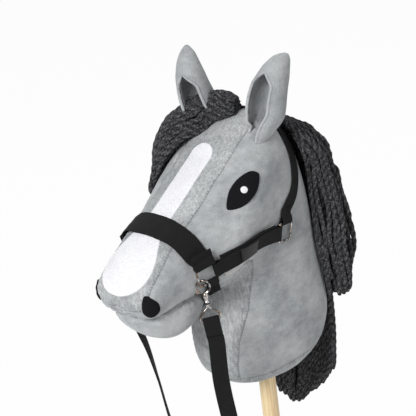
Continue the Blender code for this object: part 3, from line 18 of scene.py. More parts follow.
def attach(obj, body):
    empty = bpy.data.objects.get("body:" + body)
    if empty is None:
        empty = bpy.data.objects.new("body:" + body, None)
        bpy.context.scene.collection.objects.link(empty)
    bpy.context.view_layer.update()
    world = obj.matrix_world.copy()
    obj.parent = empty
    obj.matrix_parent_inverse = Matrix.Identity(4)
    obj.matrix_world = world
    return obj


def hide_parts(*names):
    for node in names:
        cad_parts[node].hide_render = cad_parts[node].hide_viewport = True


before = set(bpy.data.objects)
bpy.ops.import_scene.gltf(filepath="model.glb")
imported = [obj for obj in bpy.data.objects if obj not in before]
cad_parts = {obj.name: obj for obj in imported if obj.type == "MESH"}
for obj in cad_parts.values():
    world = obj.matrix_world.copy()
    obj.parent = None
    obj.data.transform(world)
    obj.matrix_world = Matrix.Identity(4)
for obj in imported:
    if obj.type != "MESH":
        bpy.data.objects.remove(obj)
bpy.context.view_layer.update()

# %% [markdown]
# ## The camera
# The toy is seen from its front left and a little above, with a long lens, so the camera stands two
# metres off. Its three axes are written out, which fixes the tilt as well as the direction. The lens
# is given by the picture's width and the lens's reach, both in the picture's own dots.

# %% Camera
PICTURE_WIDTH, LENS_REACH = 416, 1615.4
CAMERA_SPOT = (-1.269613, -1.359701, 1.583269)
lens_side = Vector((0.709474, -0.694658, -0.118725))
lens_up = Vector((0.347502, 0.198277, 0.916476))
lens_back = Vector((-0.613097, -0.691474, 0.382067))
bpy.ops.object.select_all(action="DESELECT")
bpy.ops.object.camera_add()
camera = bpy.context.active_object
axes = Matrix((lens_side, lens_up, lens_back)).transposed().to_4x4()
camera.matrix_world = Matrix.Translation(CAMERA_SPOT) @ axes
camera.data.angle = 2 * math.atan(PICTURE_WIDTH / 2 / LENS_REACH)
camera.data.clip_end = 40
bpy.context.scene.camera = camera
print("camera stands at", tuple(round(x, 3) for x in camera.location))

# %% [markdown]
# ## Curves and grids
# Sewn toys are all smooth curves, so two helpers do most of the shaping. The first reads a smooth
# curve through a few chosen points. The second turns rings of points into a closed skin, which is
# how a stuffed form with changing sections is modelled most directly.

# %% Helpers for curves and skins
def smooth_through(points, at):
    """Points of a smooth curve through the given ones; at counts in points."""
    points = np.asarray(points, float)
    at = np.atleast_1d(np.asarray(at, float))
    last = len(points) - 1
    start = np.clip(at.astype(int), 0, last - 1)
    part = (at - start)[:, None]
    before_all, past_all = 2 * points[0] - points[1], 2 * points[last] - points[last - 1]
    before = np.where((start == 0)[:, None], before_all, points[np.maximum(start - 1, 0)])
    after = np.where((start == last - 1)[:, None], past_all, points[np.minimum(start + 2, last)])
    here, there = points[start], points[start + 1]
    return 0.5 * (
        2 * here
        + (there - before) * part
        + (2 * before - 5 * here + 4 * there - after) * part**2
        + (3 * here - before - 3 * there + after) * part**3
    )


def even_path(points, step):
    """The smooth curve again, in steps of equal length."""
    fine = smooth_through(points, np.linspace(0, len(points) - 1, 40 * len(points)))
    reach = np.concatenate([[0], np.cumsum(np.linalg.norm(np.diff(fine, axis=0), axis=1))])
    count = max(4, int(round(reach[-1] / step)) + 1)
    wanted = np.linspace(0, reach[-1], count)
    return np.stack([np.interp(wanted, reach, fine[:, k]) for k in range(3)], axis=1), wanted


def ease(share):
    share = np.clip(share, 0, 1)
    return share * share * (3 - 2 * share)


def shape(name, points, faces, look, body="head"):
    """A mesh object from points and faces, smooth, riding on its body."""
    mesh = bpy.data.meshes.new(name)
    mesh.from_pydata([tuple(p) for p in points], [], faces)
    mesh.validate()
    mesh.materials.append(look)
    mesh.shade_smooth()
    piece = bpy.data.objects.new(name, mesh)
    bpy.context.scene.collection.objects.link(piece)
    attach(piece, body)
    return piece


def face_out(piece):
    """Turns every face of a closed mesh outwards."""
    work = bmesh.new()
    work.from_mesh(piece.data)
    bmesh.ops.recalc_face_normals(work, faces=work.faces)
    if work.calc_volume(signed=True) < 0:
        bmesh.ops.reverse_faces(work, faces=work.faces)
    work.to_mesh(piece.data)
    work.free()
    return piece


def ring_faces(rings, columns, start=0):
    """Quads between rings of points, numbered from start."""
    faces = []
    for i in range(rings - 1):
        for j in range(columns):
            k = (j + 1) % columns
            a = start + i * columns
            faces.append((a + j, a + k, a + columns + k, a + columns + j))
    return faces


def closed_skin(name, rings, look, body="head"):
    """A closed skin over an array of rings, each end drawn together in one point."""
    rings = np.asarray(rings, float)
    count, columns, _ = rings.shape
    points = np.concatenate([rings.reshape(-1, 3), rings[:1].mean(axis=1), rings[-1:].mean(axis=1)])
    faces = ring_faces(count, columns)
    low, high = count * columns, count * columns + 1
    last = (count - 1) * columns
    for j in range(columns):
        k = (j + 1) % columns
        faces.append((k, j, low))
        faces.append((last + j, last + k, high))
    return face_out(shape(name, points, faces, look, body))


def put_values(piece, name, values):
    """Keeps one number for each point of a piece, for its material to read."""
    layer = piece.data.attributes.new(name, "FLOAT", "POINT")
    layer.data.foreach_set("value", np.asarray(values, np.float32))


def put_uv(piece, spots):
    """Gives every point of a piece its place on the flat cloth, in metres."""
    layer = piece.data.uv_layers.new(name="cloth")
    corner = np.empty(len(piece.data.loops), np.int32)
    piece.data.loops.foreach_get("vertex_index", corner)
    layer.data.foreach_set("uv", np.asarray(spots, np.float32)[corner].ravel())


# %% [markdown]
# ## Finishes
# Every finish is built from nodes that read the piece's own coordinates, so it holds from any side.
# A small builder keeps the node trees short: it adds a node, sets it, and wires it.

# %% Builder for finishes
class Finish:
    """One material and its node tree."""

    def __init__(self, name, colour, roughness, metallic=0.0):
        self.material = bpy.data.materials.new(name)
        self.material.use_nodes = True
        self.tree = self.material.node_tree
        self.shader = self.tree.nodes["Principled BSDF"]
        self.shader.inputs["Base Color"].default_value = (*colour, 1)
        self.shader.inputs["Roughness"].default_value = roughness
        self.shader.inputs["Metallic"].default_value = metallic
        self.material.diffuse_color = (*colour, 1)
        self.place = self.add("ShaderNodeTexCoord")

    def add(self, kind, **settings):
        node = self.tree.nodes.new(kind)
        for key, value in settings.items():
            setattr(node, key, value)
        return node

    def wire(self, source, target):
        self.tree.links.new(source, target)
        return source

    def spots(self, stretch=(1, 1, 1), flat=False, turn=(0, 0, 0)):
        """Coordinates on the piece, stretched: its own space, or its flat cloth."""
        node = self.add("ShaderNodeMapping")
        node.inputs["Scale"].default_value = stretch
        node.inputs["Rotation"].default_value = turn
        self.wire(self.place.outputs["UV" if flat else "Object"], node.inputs["Vector"])
        return node.outputs["Vector"]

    def grain(self, where, scale, detail=3.0, rough=0.5):
        node = self.add("ShaderNodeTexNoise")
        node.inputs["Scale"].default_value = scale
        node.inputs["Detail"].default_value = detail
        node.inputs["Roughness"].default_value = rough
        self.wire(where, node.inputs["Vector"])
        return node.outputs["Fac"]

    def math(self, operation, first, second=0.0, third=None, clamp=False):
        node = self.add("ShaderNodeMath", operation=operation, use_clamp=clamp)
        for k, value in enumerate((first, second, third)):
            if value is None:
                continue
            if isinstance(value, (int, float)):
                node.inputs[k].default_value = value
            else:
                self.wire(value, node.inputs[k])
        return node.outputs[0]

    def values(self, name):
        return self.add("ShaderNodeAttribute", attribute_name=name).outputs["Fac"]

    def ramp(self, source, stops):
        node = self.add("ShaderNodeValToRGB")
        steps = node.color_ramp.elements
        while len(steps) < len(stops):
            steps.new(0.5)
        for step, (spot, colour) in zip(steps, stops):
            step.position = spot
            step.color = (*colour, 1)
        self.wire(source, node.inputs["Fac"])
        return node.outputs["Color"]

    def mix(self, share, first, second, way="MIX"):
        node = self.add("ShaderNodeMix", data_type="RGBA", blend_type=way)
        for key, value in ((0, share), (6, first), (7, second)):
            if isinstance(value, (int, float)):
                node.inputs[key].default_value = value
            elif isinstance(value, tuple):
                node.inputs[key].default_value = (*value, 1)
            else:
                self.wire(value, node.inputs[key])
        return node.outputs[2]

    def colour(self, source):
        self.wire(source, self.shader.inputs["Base Color"])

    def rough(self, source):
        self.wire(source, self.shader.inputs["Roughness"])

    def bump(self, height, depth, strength=1.0):
        """Relief from a height in 0 to 1, depth metres deep; calls add up."""
        node = self.add("ShaderNodeBump")
        node.inputs["Strength"].default_value = strength
        node.inputs["Distance"].default_value = depth
        self.wire(height, node.inputs["Height"])
        link = self.shader.inputs["Normal"].links
        if link:
            self.wire(link[0].from_socket, node.inputs["Normal"])
        self.wire(node.outputs["Normal"], self.shader.inputs["Normal"])

    def shine(self, level):
        self.shader.inputs["Specular IOR Level"].default_value = level

    def sheen(self, weight, roughness, tint=(1, 1, 1)):
        self.shader.inputs["Sheen Weight"].default_value = weight
        self.shader.inputs["Sheen Roughness"].default_value = roughness
        self.shader.inputs["Sheen Tint"].default_value = (*tint, 1)


# %% [markdown]
# ### Plush
# Short velvety pile: matt, with a soft sheen at grazing angles, and cloudy patches where the pile
# lies another way. Each seam is a stitched valley with painted shade along its line, drawn from the
# distance to it that the skin keeps at its points. The gusset's pile is rougher, so its brush marks
# show more.

# %% Plush finish
# Half the widths of a seam's line of painted shade and of its stitches, and the stitches' place and pitch
SEAM_SHADE, STITCH_LINE, STITCH_OFF, STITCH_PITCH = 0.0011, 0.0006, 0.0013, 0.0040


def make_plush(name, pale, deep, seams=True, clouds=1.0):
    cloth = Finish(name, pale, 0.92)
    here = cloth.spots()
    cloud = cloth.grain(here, 17.0, 3.0, 0.55)
    wisps = cloth.grain(cloth.spots((1, 1, 1.6)), 75.0, 4.0, 0.6)
    pile = cloth.grain(here, 620.0, 2.0, 0.6)
    strokes = cloth.grain(cloth.spots((1.0, 1.0, 0.30), turn=(0.5, 0.5, 0)), 420.0, 2.0, 0.5)
    blend = cloth.math("MULTIPLY_ADD", cloud, 0.62, cloth.math("MULTIPLY", wisps, 0.38))
    tone = cloth.ramp(blend, [(0.5 - 0.15 / clouds, deep), (0.5 + 0.12 / clouds, pale)])
    speck = cloth.ramp(pile, [(0.30, (0.80, 0.80, 0.80)), (0.70, (1.10, 1.10, 1.10))])
    tone = cloth.mix(0.65, tone, speck, "MULTIPLY")
    if seams:
        side = cloth.values("seam")
        along = cloth.values("stitch")
        off = cloth.math("ABSOLUTE", side)
        line = cloth.math("SUBTRACT", 1.0, cloth.math("DIVIDE", off, SEAM_SHADE), clamp=True)
        wave = cloth.math("SINE", cloth.math("MULTIPLY", along, 2 * math.pi / STITCH_PITCH))
        beside = cloth.math("ABSOLUTE", cloth.math("SUBTRACT", side, STITCH_OFF))
        near = cloth.math("LESS_THAN", beside, STITCH_LINE)
        dash = cloth.math("MULTIPLY", near, cloth.math("GREATER_THAN", wave, 0.0))
        line, dash = cloth.math("MULTIPLY", line, 0.60), cloth.math("MULTIPLY", dash, 0.45)
        # The seam's line is painted shade in its valley, and on the jaw in the mouth's fold; the dashes are
        # its stitches
        dark = cloth.math("MAXIMUM", line, dash)
        tone = cloth.mix(dark, tone, tuple(c * 0.32 for c in deep))
        gusset = cloth.math("GREATER_THAN", side, 0.0)
        brushed = cloth.ramp(strokes, [(0.34, (0.66, 0.66, 0.66)), (0.66, (1.20, 1.20, 1.19))])
        tone = cloth.mix(cloth.math("MULTIPLY", gusset, 0.75), tone, brushed, "MULTIPLY")
    cloth.colour(tone)
    cloth.bump(pile, 0.0011, 0.55)
    cloth.bump(strokes, 0.0009, 0.30)
    cloth.bump(wisps, 0.0035, 0.25)
    cloth.shine(0.15)
    cloth.sheen(0.30, 0.42, (0.93, 0.96, 1.0))
    return cloth.material


grey_plush = make_plush("grey plush", (0.475, 0.490, 0.497), (0.270, 0.285, 0.293))
ear_plush = make_plush(
    "grey plush of the ears", (0.480, 0.496, 0.503), (0.290, 0.304, 0.312), seams=False,
)
white_plush = make_plush(
    "white plush", (0.85, 0.85, 0.87), (0.76, 0.76, 0.79), seams=False, clouds=0.8,
)


# %% [markdown]
# ### Felt, webbing and leather
# Felt is a mat of short fibres with no shine. Webbing is woven: fine ribs run across it and its two
# edges are tighter, so its finish reads the flat cloth's own coordinates. The patch is smooth
# leather with a fine grain, left bare.

# %% Felt, webbing and leather finishes
# Pitches of the webbing's ribs, warp and twill, and how wide its tighter edges are
RIB_PITCH, WARP_PITCH, TWILL_PITCH, EDGE_BAND = 0.0013, 0.0011, 0.0024, 0.0016


def make_felt():
    cloth = Finish("black felt", (0.012, 0.012, 0.0135), 0.96)
    fibre = cloth.grain(cloth.spots((1, 1, 2.2)), 900.0, 4.0, 0.7)
    cloth.colour(cloth.ramp(fibre, [(0.35, (0.004, 0.004, 0.005)), (0.72, (0.016, 0.016, 0.018))]))
    cloth.bump(fibre, 0.0008, 0.7)
    cloth.shine(0.08)
    return cloth.material


def make_webbing(name, pale, deep, width):
    """Webbing whose flat cloth runs from 0 to its width across, and along in metres."""
    cloth = Finish(name, pale, 0.72)
    apart = cloth.add("ShaderNodeSeparateXYZ")
    cloth.wire(cloth.place.outputs["UV"], apart.inputs["Vector"])
    across, along = apart.outputs["X"], apart.outputs["Y"]
    ribs = cloth.math("SINE", cloth.math("MULTIPLY", along, 2 * math.pi / RIB_PITCH))
    warp = cloth.math("SINE", cloth.math("MULTIPLY", across, 2 * math.pi / WARP_PITCH))
    weave = cloth.math("MULTIPLY_ADD", cloth.math("MULTIPLY", ribs, warp), 0.35, 0.5)
    slant = cloth.math("ADD", across, along)
    twill = cloth.math("SINE", cloth.math("MULTIPLY", slant, 2 * math.pi / TWILL_PITCH))
    height = cloth.math("MULTIPLY_ADD", twill, 0.12, weave)
    fluff = cloth.grain(cloth.spots(flat=True), 900.0, 3.0, 0.6)
    worn = cloth.grain(cloth.spots(flat=True), 60.0, 3.0, 0.6)
    tone = cloth.math("MULTIPLY_ADD", height, 0.5, cloth.math("MULTIPLY", fluff, 0.5))
    tone = cloth.math("MULTIPLY_ADD", cloth.math("SUBTRACT", worn, 0.5), 0.5, tone)
    cloth.colour(cloth.ramp(tone, [(0.25, deep), (0.75, pale)]))
    centre = cloth.math("ABSOLUTE", cloth.math("SUBTRACT", across, width / 2))
    edge = cloth.math("GREATER_THAN", centre, width / 2 - EDGE_BAND)
    cloth.bump(height, 0.00045, 0.9)
    cloth.bump(edge, 0.0003, 0.6)
    cloth.bump(fluff, 0.0004, 0.4)
    cloth.shine(0.14)
    return cloth.material


def make_leather():
    skin = Finish("plain patch leather", (0.017, 0.017, 0.018), 0.48)
    cells = skin.add("ShaderNodeTexVoronoi", feature="SMOOTH_F1")
    cells.inputs["Scale"].default_value = 900.0
    skin.wire(skin.spots(), cells.inputs["Vector"])
    worn = skin.grain(skin.spots(), 140.0, 4.0, 0.6)
    skin.colour(skin.ramp(worn, [(0.35, (0.005, 0.005, 0.006)), (0.7, (0.010, 0.010, 0.011))]))
    skin.rough(skin.math("MULTIPLY_ADD", worn, 0.25, 0.34))
    skin.bump(cells.outputs["Distance"], 0.0003, 0.5)
    skin.shine(0.30)
    return skin.material


black_felt = make_felt()
# Widths of the noseband, the cheek and crown straps, the chin strap and the pad
NOSE_WIDTH, STRAP_WIDTH, CHIN_WIDTH, PAD_WIDTH = 0.030, 0.020, 0.016, 0.025
WORN_BLACK, DEEP_BLACK = (0.0125, 0.0125, 0.013), (0.004, 0.004, 0.0043)
wide_webbing = make_webbing("black webbing, wide", WORN_BLACK, DEEP_BLACK, NOSE_WIDTH)
strap_webbing = make_webbing("black webbing", WORN_BLACK, DEEP_BLACK, STRAP_WIDTH)
chin_webbing = make_webbing("black webbing, narrow", WORN_BLACK, DEEP_BLACK, CHIN_WIDTH)
pad_cloth = make_webbing("black pad cloth", (0.011, 0.011, 0.0115), DEEP_BLACK, PAD_WIDTH)
pale_lining = make_webbing("pale pad lining", (0.66, 0.66, 0.64), (0.50, 0.50, 0.49), PAD_WIDTH + 0.001)
patch_leather = make_leather()
print("cloth finishes made")


# %% [markdown]
# ### Bright steel, yarn and pine
# The steel is polished, with faint scratches that break up its reflections; dark patches painted in
# its colour stand in for the dark things it reflects. The yarn is charcoal with paler fibres, its twist
# drawn along the strand's own length, with painted shade in the grooves between its plies. The pine
# has long grain along the stick and a few darker year lines.

# %% Steel, yarn and pine finishes
def make_steel():
    metal = Finish("bright steel", (0.80, 0.79, 0.77), 0.16, 1.0)
    haze_and_painted_reflection = metal.grain(metal.spots(), 260.0, 4.0, 0.6)
    lines = metal.grain(metal.spots((1, 1, 6)), 1500.0, 2.0, 0.5)
    warm = metal.grain(metal.spots(), 95.0, 2.0, 0.5)
    # Dark patches of the haze in the base colour are a painted reflection; the haze also sets the roughness
    bright = metal.ramp(haze_and_painted_reflection, [(0.40, (0.05, 0.046, 0.043)), (0.62, (0.58, 0.56, 0.55))])
    tinted = metal.ramp(warm, [(0.42, (0.55, 0.37, 0.24)), (0.58, (1.0, 1.0, 1.0))])
    metal.colour(metal.mix(0.85, bright, tinted, "MULTIPLY"))
    metal.rough(metal.math("MULTIPLY_ADD", haze_and_painted_reflection, 0.20, 0.07))
    metal.bump(lines, 0.00008, 0.25)
    return metal.material


def make_yarn():
    wool = Finish("charcoal yarn", (0.055, 0.056, 0.060), 0.95)
    ply = wool.values("ply")
    fibre = wool.grain(wool.spots(), 1300.0, 4.0, 0.7)
    tuft = wool.grain(wool.spots(), 430.0, 3.0, 0.7)
    # The grooves between the plies are coloured a little darker: painted shade
    tone = wool.math("MULTIPLY_ADD", ply, 0.08, wool.math("MULTIPLY", fibre, 0.32))
    tone = wool.math("MULTIPLY_ADD", tuft, 0.60, tone)
    dark, middle, pale = (0.008, 0.008, 0.009), (0.034, 0.034, 0.037), (0.170, 0.171, 0.176)
    wool.colour(wool.ramp(tone, [(0.40, dark), (0.50, middle), (0.64, pale)]))
    wool.bump(ply, 0.0006, 0.6)
    wool.bump(tuft, 0.0022, 0.8)
    wool.shine(0.12)
    wool.sheen(0.05, 0.5, (0.75, 0.76, 0.80))
    return wool.material


def make_pine():
    wood = Finish("pine", (0.84, 0.655, 0.385), 0.50)
    rings = wood.grain(wood.spots((90, 90, 1.6)), 1.0, 3.0, 0.45)
    bands = wood.math("SINE", wood.math("MULTIPLY", rings, 46.0))
    pores = wood.grain(wood.spots((1400, 1400, 30)), 1.0, 3.0, 0.6)
    warm = wood.grain(wood.spots((12, 12, 2.5)), 1.0, 2.0, 0.5)
    tone = wood.math("MULTIPLY_ADD", bands, 0.22, 0.42)
    tone = wood.math("MULTIPLY_ADD", pores, 0.30, tone)
    pale, middle, year = (0.88, 0.71, 0.44), (0.82, 0.62, 0.35), (0.66, 0.42, 0.19)
    grain = wood.ramp(tone, [(0.30, pale), (0.62, middle), (0.90, year)])
    wood.colour(wood.mix(wood.math("MULTIPLY", warm, 0.5), grain, (0.90, 0.74, 0.48)))
    wood.rough(wood.math("MULTIPLY_ADD", pores, 0.2, 0.38))
    wood.bump(pores, 0.0003, 0.3)
    wood.shader.inputs["Coat Weight"].default_value = 0.12
    wood.shader.inputs["Coat Roughness"].default_value = 0.35
    return wood.material


bright_steel = make_steel()
charcoal_yarn = make_yarn()
pine = make_pine()
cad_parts["stick"].data.materials.clear()
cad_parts["stick"].data.materials.append(pine)
print("the stick keeps its solid and gets", pine.name)

# %% [markdown]
# ## The rein
# One long web of 20 mm webbing hangs from the two hooks: down the left side, across behind the
# stick and up the right side, about 1.19 m from fold to fold. It hangs by its own weight, so its
# route is one smooth curve through chosen points, and its width turns slowly along the way.

# %% Rein
REIN_WIDTH, REIN_THICKNESS = 0.020, 0.0020
REIN_ROUTE = (
    (-0.1462, -0.0765, 0.6550), (-0.1395, -0.0750, 0.6000), (-0.1305, -0.0740, 0.5400),
    (-0.1195, -0.0730, 0.4800), (-0.1065, -0.0710, 0.4200), (-0.0905, -0.0680, 0.3600),
    (-0.0700, -0.0630, 0.3050), (-0.0470, -0.0550, 0.2570), (-0.0210, -0.0430, 0.2190),
    (0.0060, -0.0270, 0.1950), (0.0240, 0.0000, 0.1850), (0.0080, 0.0270, 0.1950),
    (-0.0160, 0.0430, 0.2190), (-0.0400, 0.0550, 0.2570), (-0.0610, 0.0630, 0.3050),
    (-0.0770, 0.0680, 0.3600), (-0.0900, 0.0710, 0.4200), (-0.1000, 0.0725, 0.4800),
    (-0.1120, 0.0735, 0.5400), (-0.1215, 0.0730, 0.6000), (-0.1320, 0.0740, 0.6550),
)
# Which way the web's width points, by share of its length
REIN_HEADINGS = (
    (0.06, (0.76, -0.65, 0.0)), (0.25, (0.80, -0.60, 0.0)), (0.40, (0.95, -0.30, 0.0)),
    (0.50, (1.00, 0.00, 0.0)), (0.60, (0.95, 0.25, 0.0)), (0.78, (0.66, 0.75, 0.0)),
    (0.90, (0.62, 0.78, 0.0)), (0.96, (0.80, 0.60, 0.0)),
)


def frame_of(origin, x_axis, z_axis):
    z_axis = Vector(z_axis).normalized()
    x_axis = Vector(x_axis)
    x_axis = (x_axis - z_axis * x_axis.dot(z_axis)).normalized()
    turn = Matrix((x_axis, z_axis.cross(x_axis), z_axis)).transposed().to_4x4()
    return Matrix.Translation(origin) @ turn


def sided(spot, side):
    return Vector((spot[0], -side * spot[1], spot[2]))


# Places of the left hook and its swivel and the ways of their own axes; the right side mirrors them
HOOK_SPOT, HOOK_X = (-0.14302, -0.06248, 0.77434), (0.635, -0.76052, 0.13556)
HOOK_Z = (0.04877, 0.21461, 0.97548)
SWIVEL_SPOT, SWIVEL_X = (-0.14406, -0.06705, 0.75356), (0.769, -0.63131, 0.10044)
SWIVEL_LENGTH, LOOP_HEIGHT = 0.0045, 0.0150
SIDES = (-1, 1)
hook_place = {s: frame_of(sided(HOOK_SPOT, s), sided(HOOK_X, s), sided(HOOK_Z, s)) for s in SIDES}
swivel_place = {s: frame_of(sided(SWIVEL_SPOT, s), sided(SWIVEL_X, s), sided(HOOK_Z, s)) for s in SIDES}
to_bar = Matrix.Translation((0, 0, -SWIVEL_LENGTH - LOOP_HEIGHT))
bar_place = {s: swivel_place[s] @ to_bar for s in SIDES}


def web_along(name, spots, acrosses, normals, width, thickness, look, body="head", widths=None):
    """Webbing along a path: a ring of points at each spot, flat cloth in metres kept as its UV."""
    inner = np.linspace(-0.5, 0.5, 7)[1:-1]
    radius = thickness / 2
    outline = [(x * width, radius) for x in inner]
    flat = width / 2 - radius
    edge = np.linspace(math.pi / 2, -math.pi / 2, 7)
    outline += [(flat + radius * math.cos(t), radius * math.sin(t)) for t in edge]
    outline += [(x * width, -radius) for x in inner[::-1]]
    outline += [(-flat - radius * math.cos(t), -radius * math.sin(t)) for t in edge]
    outline = np.array(outline)
    spots, acrosses, normals = (np.asarray(a, float) for a in (spots, acrosses, normals))
    scale = np.ones(len(spots)) if widths is None else np.asarray(widths) / width
    rings = (
        spots[:, None]
        + acrosses[:, None] * (outline[:, 0] * scale[:, None])[..., None]
        + normals[:, None] * outline[None, :, 1, None]
    )
    piece = closed_skin(name, rings, look, body)
    reach = np.concatenate([[0], np.cumsum(np.linalg.norm(np.diff(spots, axis=0), axis=1))])
    flat_spots = [(x + width / 2, far) for far in reach for x in outline[:, 0]]
    flat_spots += [(width / 2, reach[0]), (width / 2, reach[-1])]
    put_uv(piece, flat_spots)
    return piece


# The web leaves each fold straight, so two points below each loop's bar come first
leave, steady = Vector((0, 0, -0.0203)), Vector((0, 0, -0.030))
starting = [bar_place[-1] @ leave, bar_place[-1] @ steady]
route = [*starting, *REIN_ROUTE, bar_place[1] @ steady, bar_place[1] @ leave]
rein_spots, rein_reach = even_path([tuple(p) for p in route], 0.004)
shares = rein_reach / rein_reach[-1]
turns = [(0.0, tuple(bar_place[-1].to_3x3() @ Vector((1, 0, 0)))), *REIN_HEADINGS]
turns += [(1.0, tuple(bar_place[1].to_3x3() @ Vector((1, 0, 0))))]
turn_shares = [share for share, _ in turns]
wide = [np.interp(shares, turn_shares, [way[k] for _, way in turns]) for k in range(3)]
wide = np.stack(wide, axis=1)
ahead = np.gradient(rein_spots, axis=0)
ahead[0] = bar_place[-1].to_3x3() @ Vector((0, 0, -1))
ahead[-1] = bar_place[1].to_3x3() @ Vector((0, 0, 1))
ahead /= np.linalg.norm(ahead, axis=1)[:, None]
wide -= ahead * (wide * ahead).sum(axis=1)[:, None]
wide /= np.linalg.norm(wide, axis=1)[:, None]
rein = web_along(
    "rein_web", rein_spots, wide, np.cross(ahead, wide), REIN_WIDTH, REIN_THICKNESS, strap_webbing,
)
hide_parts("rein")
print("rein is", round(float(rein_reach[-1]), 3), "m long")

# %% [markdown]
# ## The stuffed head and neck
# The real head is sewn from side panels and gussets over fibre filling, with a sleeve for the stick.
# Sculpting would do, but sections give more control: each one says where the throat and the crest
# are, how wide the form is and how square. A fine skin through them is then pressed in along the
# seams and made a little lumpy, as stuffing does.

# %% Sections of the head
# Each section: X and height of its throat, X and height of its crest, half its width, how square it
# is. Heights are over the neck's base.
NECK_BASE = 0.583
HEAD_SECTIONS = (
    (-0.0150, 0.0000, 0.0150, 0.0000, 0.0150, 2.00), (-0.0400, 0.0030, 0.0420, 0.0030, 0.0320, 2.10),
    (-0.0660, 0.0110, 0.0690, 0.0120, 0.0470, 2.20), (-0.0870, 0.0270, 0.0880, 0.0290, 0.0570, 2.30),
    (-0.0960, 0.0510, 0.0990, 0.0570, 0.0625, 2.35), (-0.0980, 0.0790, 0.1000, 0.0890, 0.0640, 2.35),
    (-0.0940, 0.1070, 0.0960, 0.1250, 0.0630, 2.35), (-0.0890, 0.1310, 0.0900, 0.1690, 0.0615, 2.35),
    (-0.0850, 0.1450, 0.0830, 0.2170, 0.0615, 2.40), (-0.0840, 0.1510, 0.0730, 0.2670, 0.0635, 2.40),
    (-0.0860, 0.1540, 0.0520, 0.3190, 0.0690, 2.40), (-0.0900, 0.1550, 0.0130, 0.3540, 0.0745, 2.30),
    (-0.0970, 0.1560, -0.0340, 0.3400, 0.0770, 2.30), (-0.1080, 0.1570, -0.0700, 0.3150, 0.0755, 2.30),
    (-0.1220, 0.1590, -0.1030, 0.2920, 0.0680, 2.30), (-0.1380, 0.1620, -0.1330, 0.2720, 0.0600, 2.35),
    (-0.1570, 0.1640, -0.1610, 0.2550, 0.0545, 2.40), (-0.1780, 0.1650, -0.1870, 0.2370, 0.0520, 2.50),
    (-0.1980, 0.1660, -0.2080, 0.2200, 0.0500, 2.60), (-0.2130, 0.1700, -0.2215, 0.2060, 0.0430, 2.60),
    (-0.2205, 0.1780, -0.2265, 0.1960, 0.0280, 2.40), (-0.2235, 0.1850, -0.2275, 0.1900, 0.0080, 2.10),
    (-0.2242, 0.1868, -0.2272, 0.1884, 0.0020, 2.00),
)
JAW_SECTIONS = (
    (-0.1000, 0.1570, -0.1060, 0.2070, 0.0300, 2.30), (-0.1200, 0.1390, -0.1280, 0.2070, 0.0410, 2.30),
    (-0.1400, 0.1240, -0.1500, 0.2020, 0.0445, 2.30), (-0.1650, 0.1205, -0.1680, 0.1920, 0.0445, 2.30),
    (-0.1870, 0.1290, -0.1860, 0.1850, 0.0420, 2.30), (-0.2030, 0.1430, -0.1980, 0.1850, 0.0370, 2.30),
    (-0.2115, 0.1560, -0.2080, 0.1850, 0.0270, 2.30), (-0.2145, 0.1650, -0.2120, 0.1830, 0.0130, 2.20),
    (-0.2152, 0.1710, -0.2140, 0.1790, 0.0030, 2.00),
)


def form_points(sections, number, turn):
    """Points on a stuffed form, by section number and turn from the crest in radians."""
    number, turn = np.broadcast_arrays(np.asarray(number, float), np.asarray(turn, float))
    rows = smooth_through(sections, number.ravel())
    turn = turn.ravel()
    power = 2 / rows[:, 5]
    up = np.sign(np.cos(turn)) * np.abs(np.cos(turn)) ** power
    out = np.sign(np.sin(turn)) * np.abs(np.sin(turn)) ** power
    x = (rows[:, 0] + rows[:, 2]) / 2 + (rows[:, 2] - rows[:, 0]) / 2 * up
    z = (rows[:, 1] + rows[:, 3]) / 2 + (rows[:, 3] - rows[:, 1]) / 2 * up + NECK_BASE
    return np.stack([x, rows[:, 4] * out, z], axis=1).reshape(number.shape + (3,))


def even_numbers(sections, first, last, count):
    """Section numbers whose rings stand about evenly apart."""
    fine = np.linspace(first, last, 2000)
    lines = [form_points(sections, fine, turn) for turn in (0.0, 1.57, 3.14)]
    steps = [np.linalg.norm(np.diff(line, axis=0), axis=1) for line in lines]
    reach = np.concatenate([[0], np.cumsum(np.max(steps, axis=0))])
    return np.interp(np.linspace(0, reach[-1], count), reach, fine)


# %% [markdown]
# The seams are given as section numbers and degrees round from the crest. For every point of the
# skin the nearest seam is looked up once: its distance presses the groove in and goes on to the
# material, with a minus sign on the side panels and a plus sign on the gussets.

# %% Seams of the head
THROAT_SEAM = (
    (2.9, 149), (3.9, 146), (5.1, 141), (6.5, 130), (8.3, 124), (10.1, 121), (12.0, 130), (14.0, 142),
    (20.2, 150),
)
FOREHEAD_SEAM = (
    (9.9, 2.5), (10.5, 16), (11.4, 25), (12.3, 28), (13.3, 28.5), (14.1, 33), (15.2, 38), (16.0, 42),
    (17.0, 51), (18.0, 58), (19.0, 77), (20.0, 118), (20.6, 150), (21.0, 166),
)
# The base panel ends at this section, the throat gusset at the next and the crest seam at the last
BASE_SEAM, THROAT_END, CREST_END = 2.9, 20.3, 9.9


def seam_turn(seam, numbers):
    return np.radians(np.interp(numbers, [s[0] for s in seam], [s[1] for s in seam]))


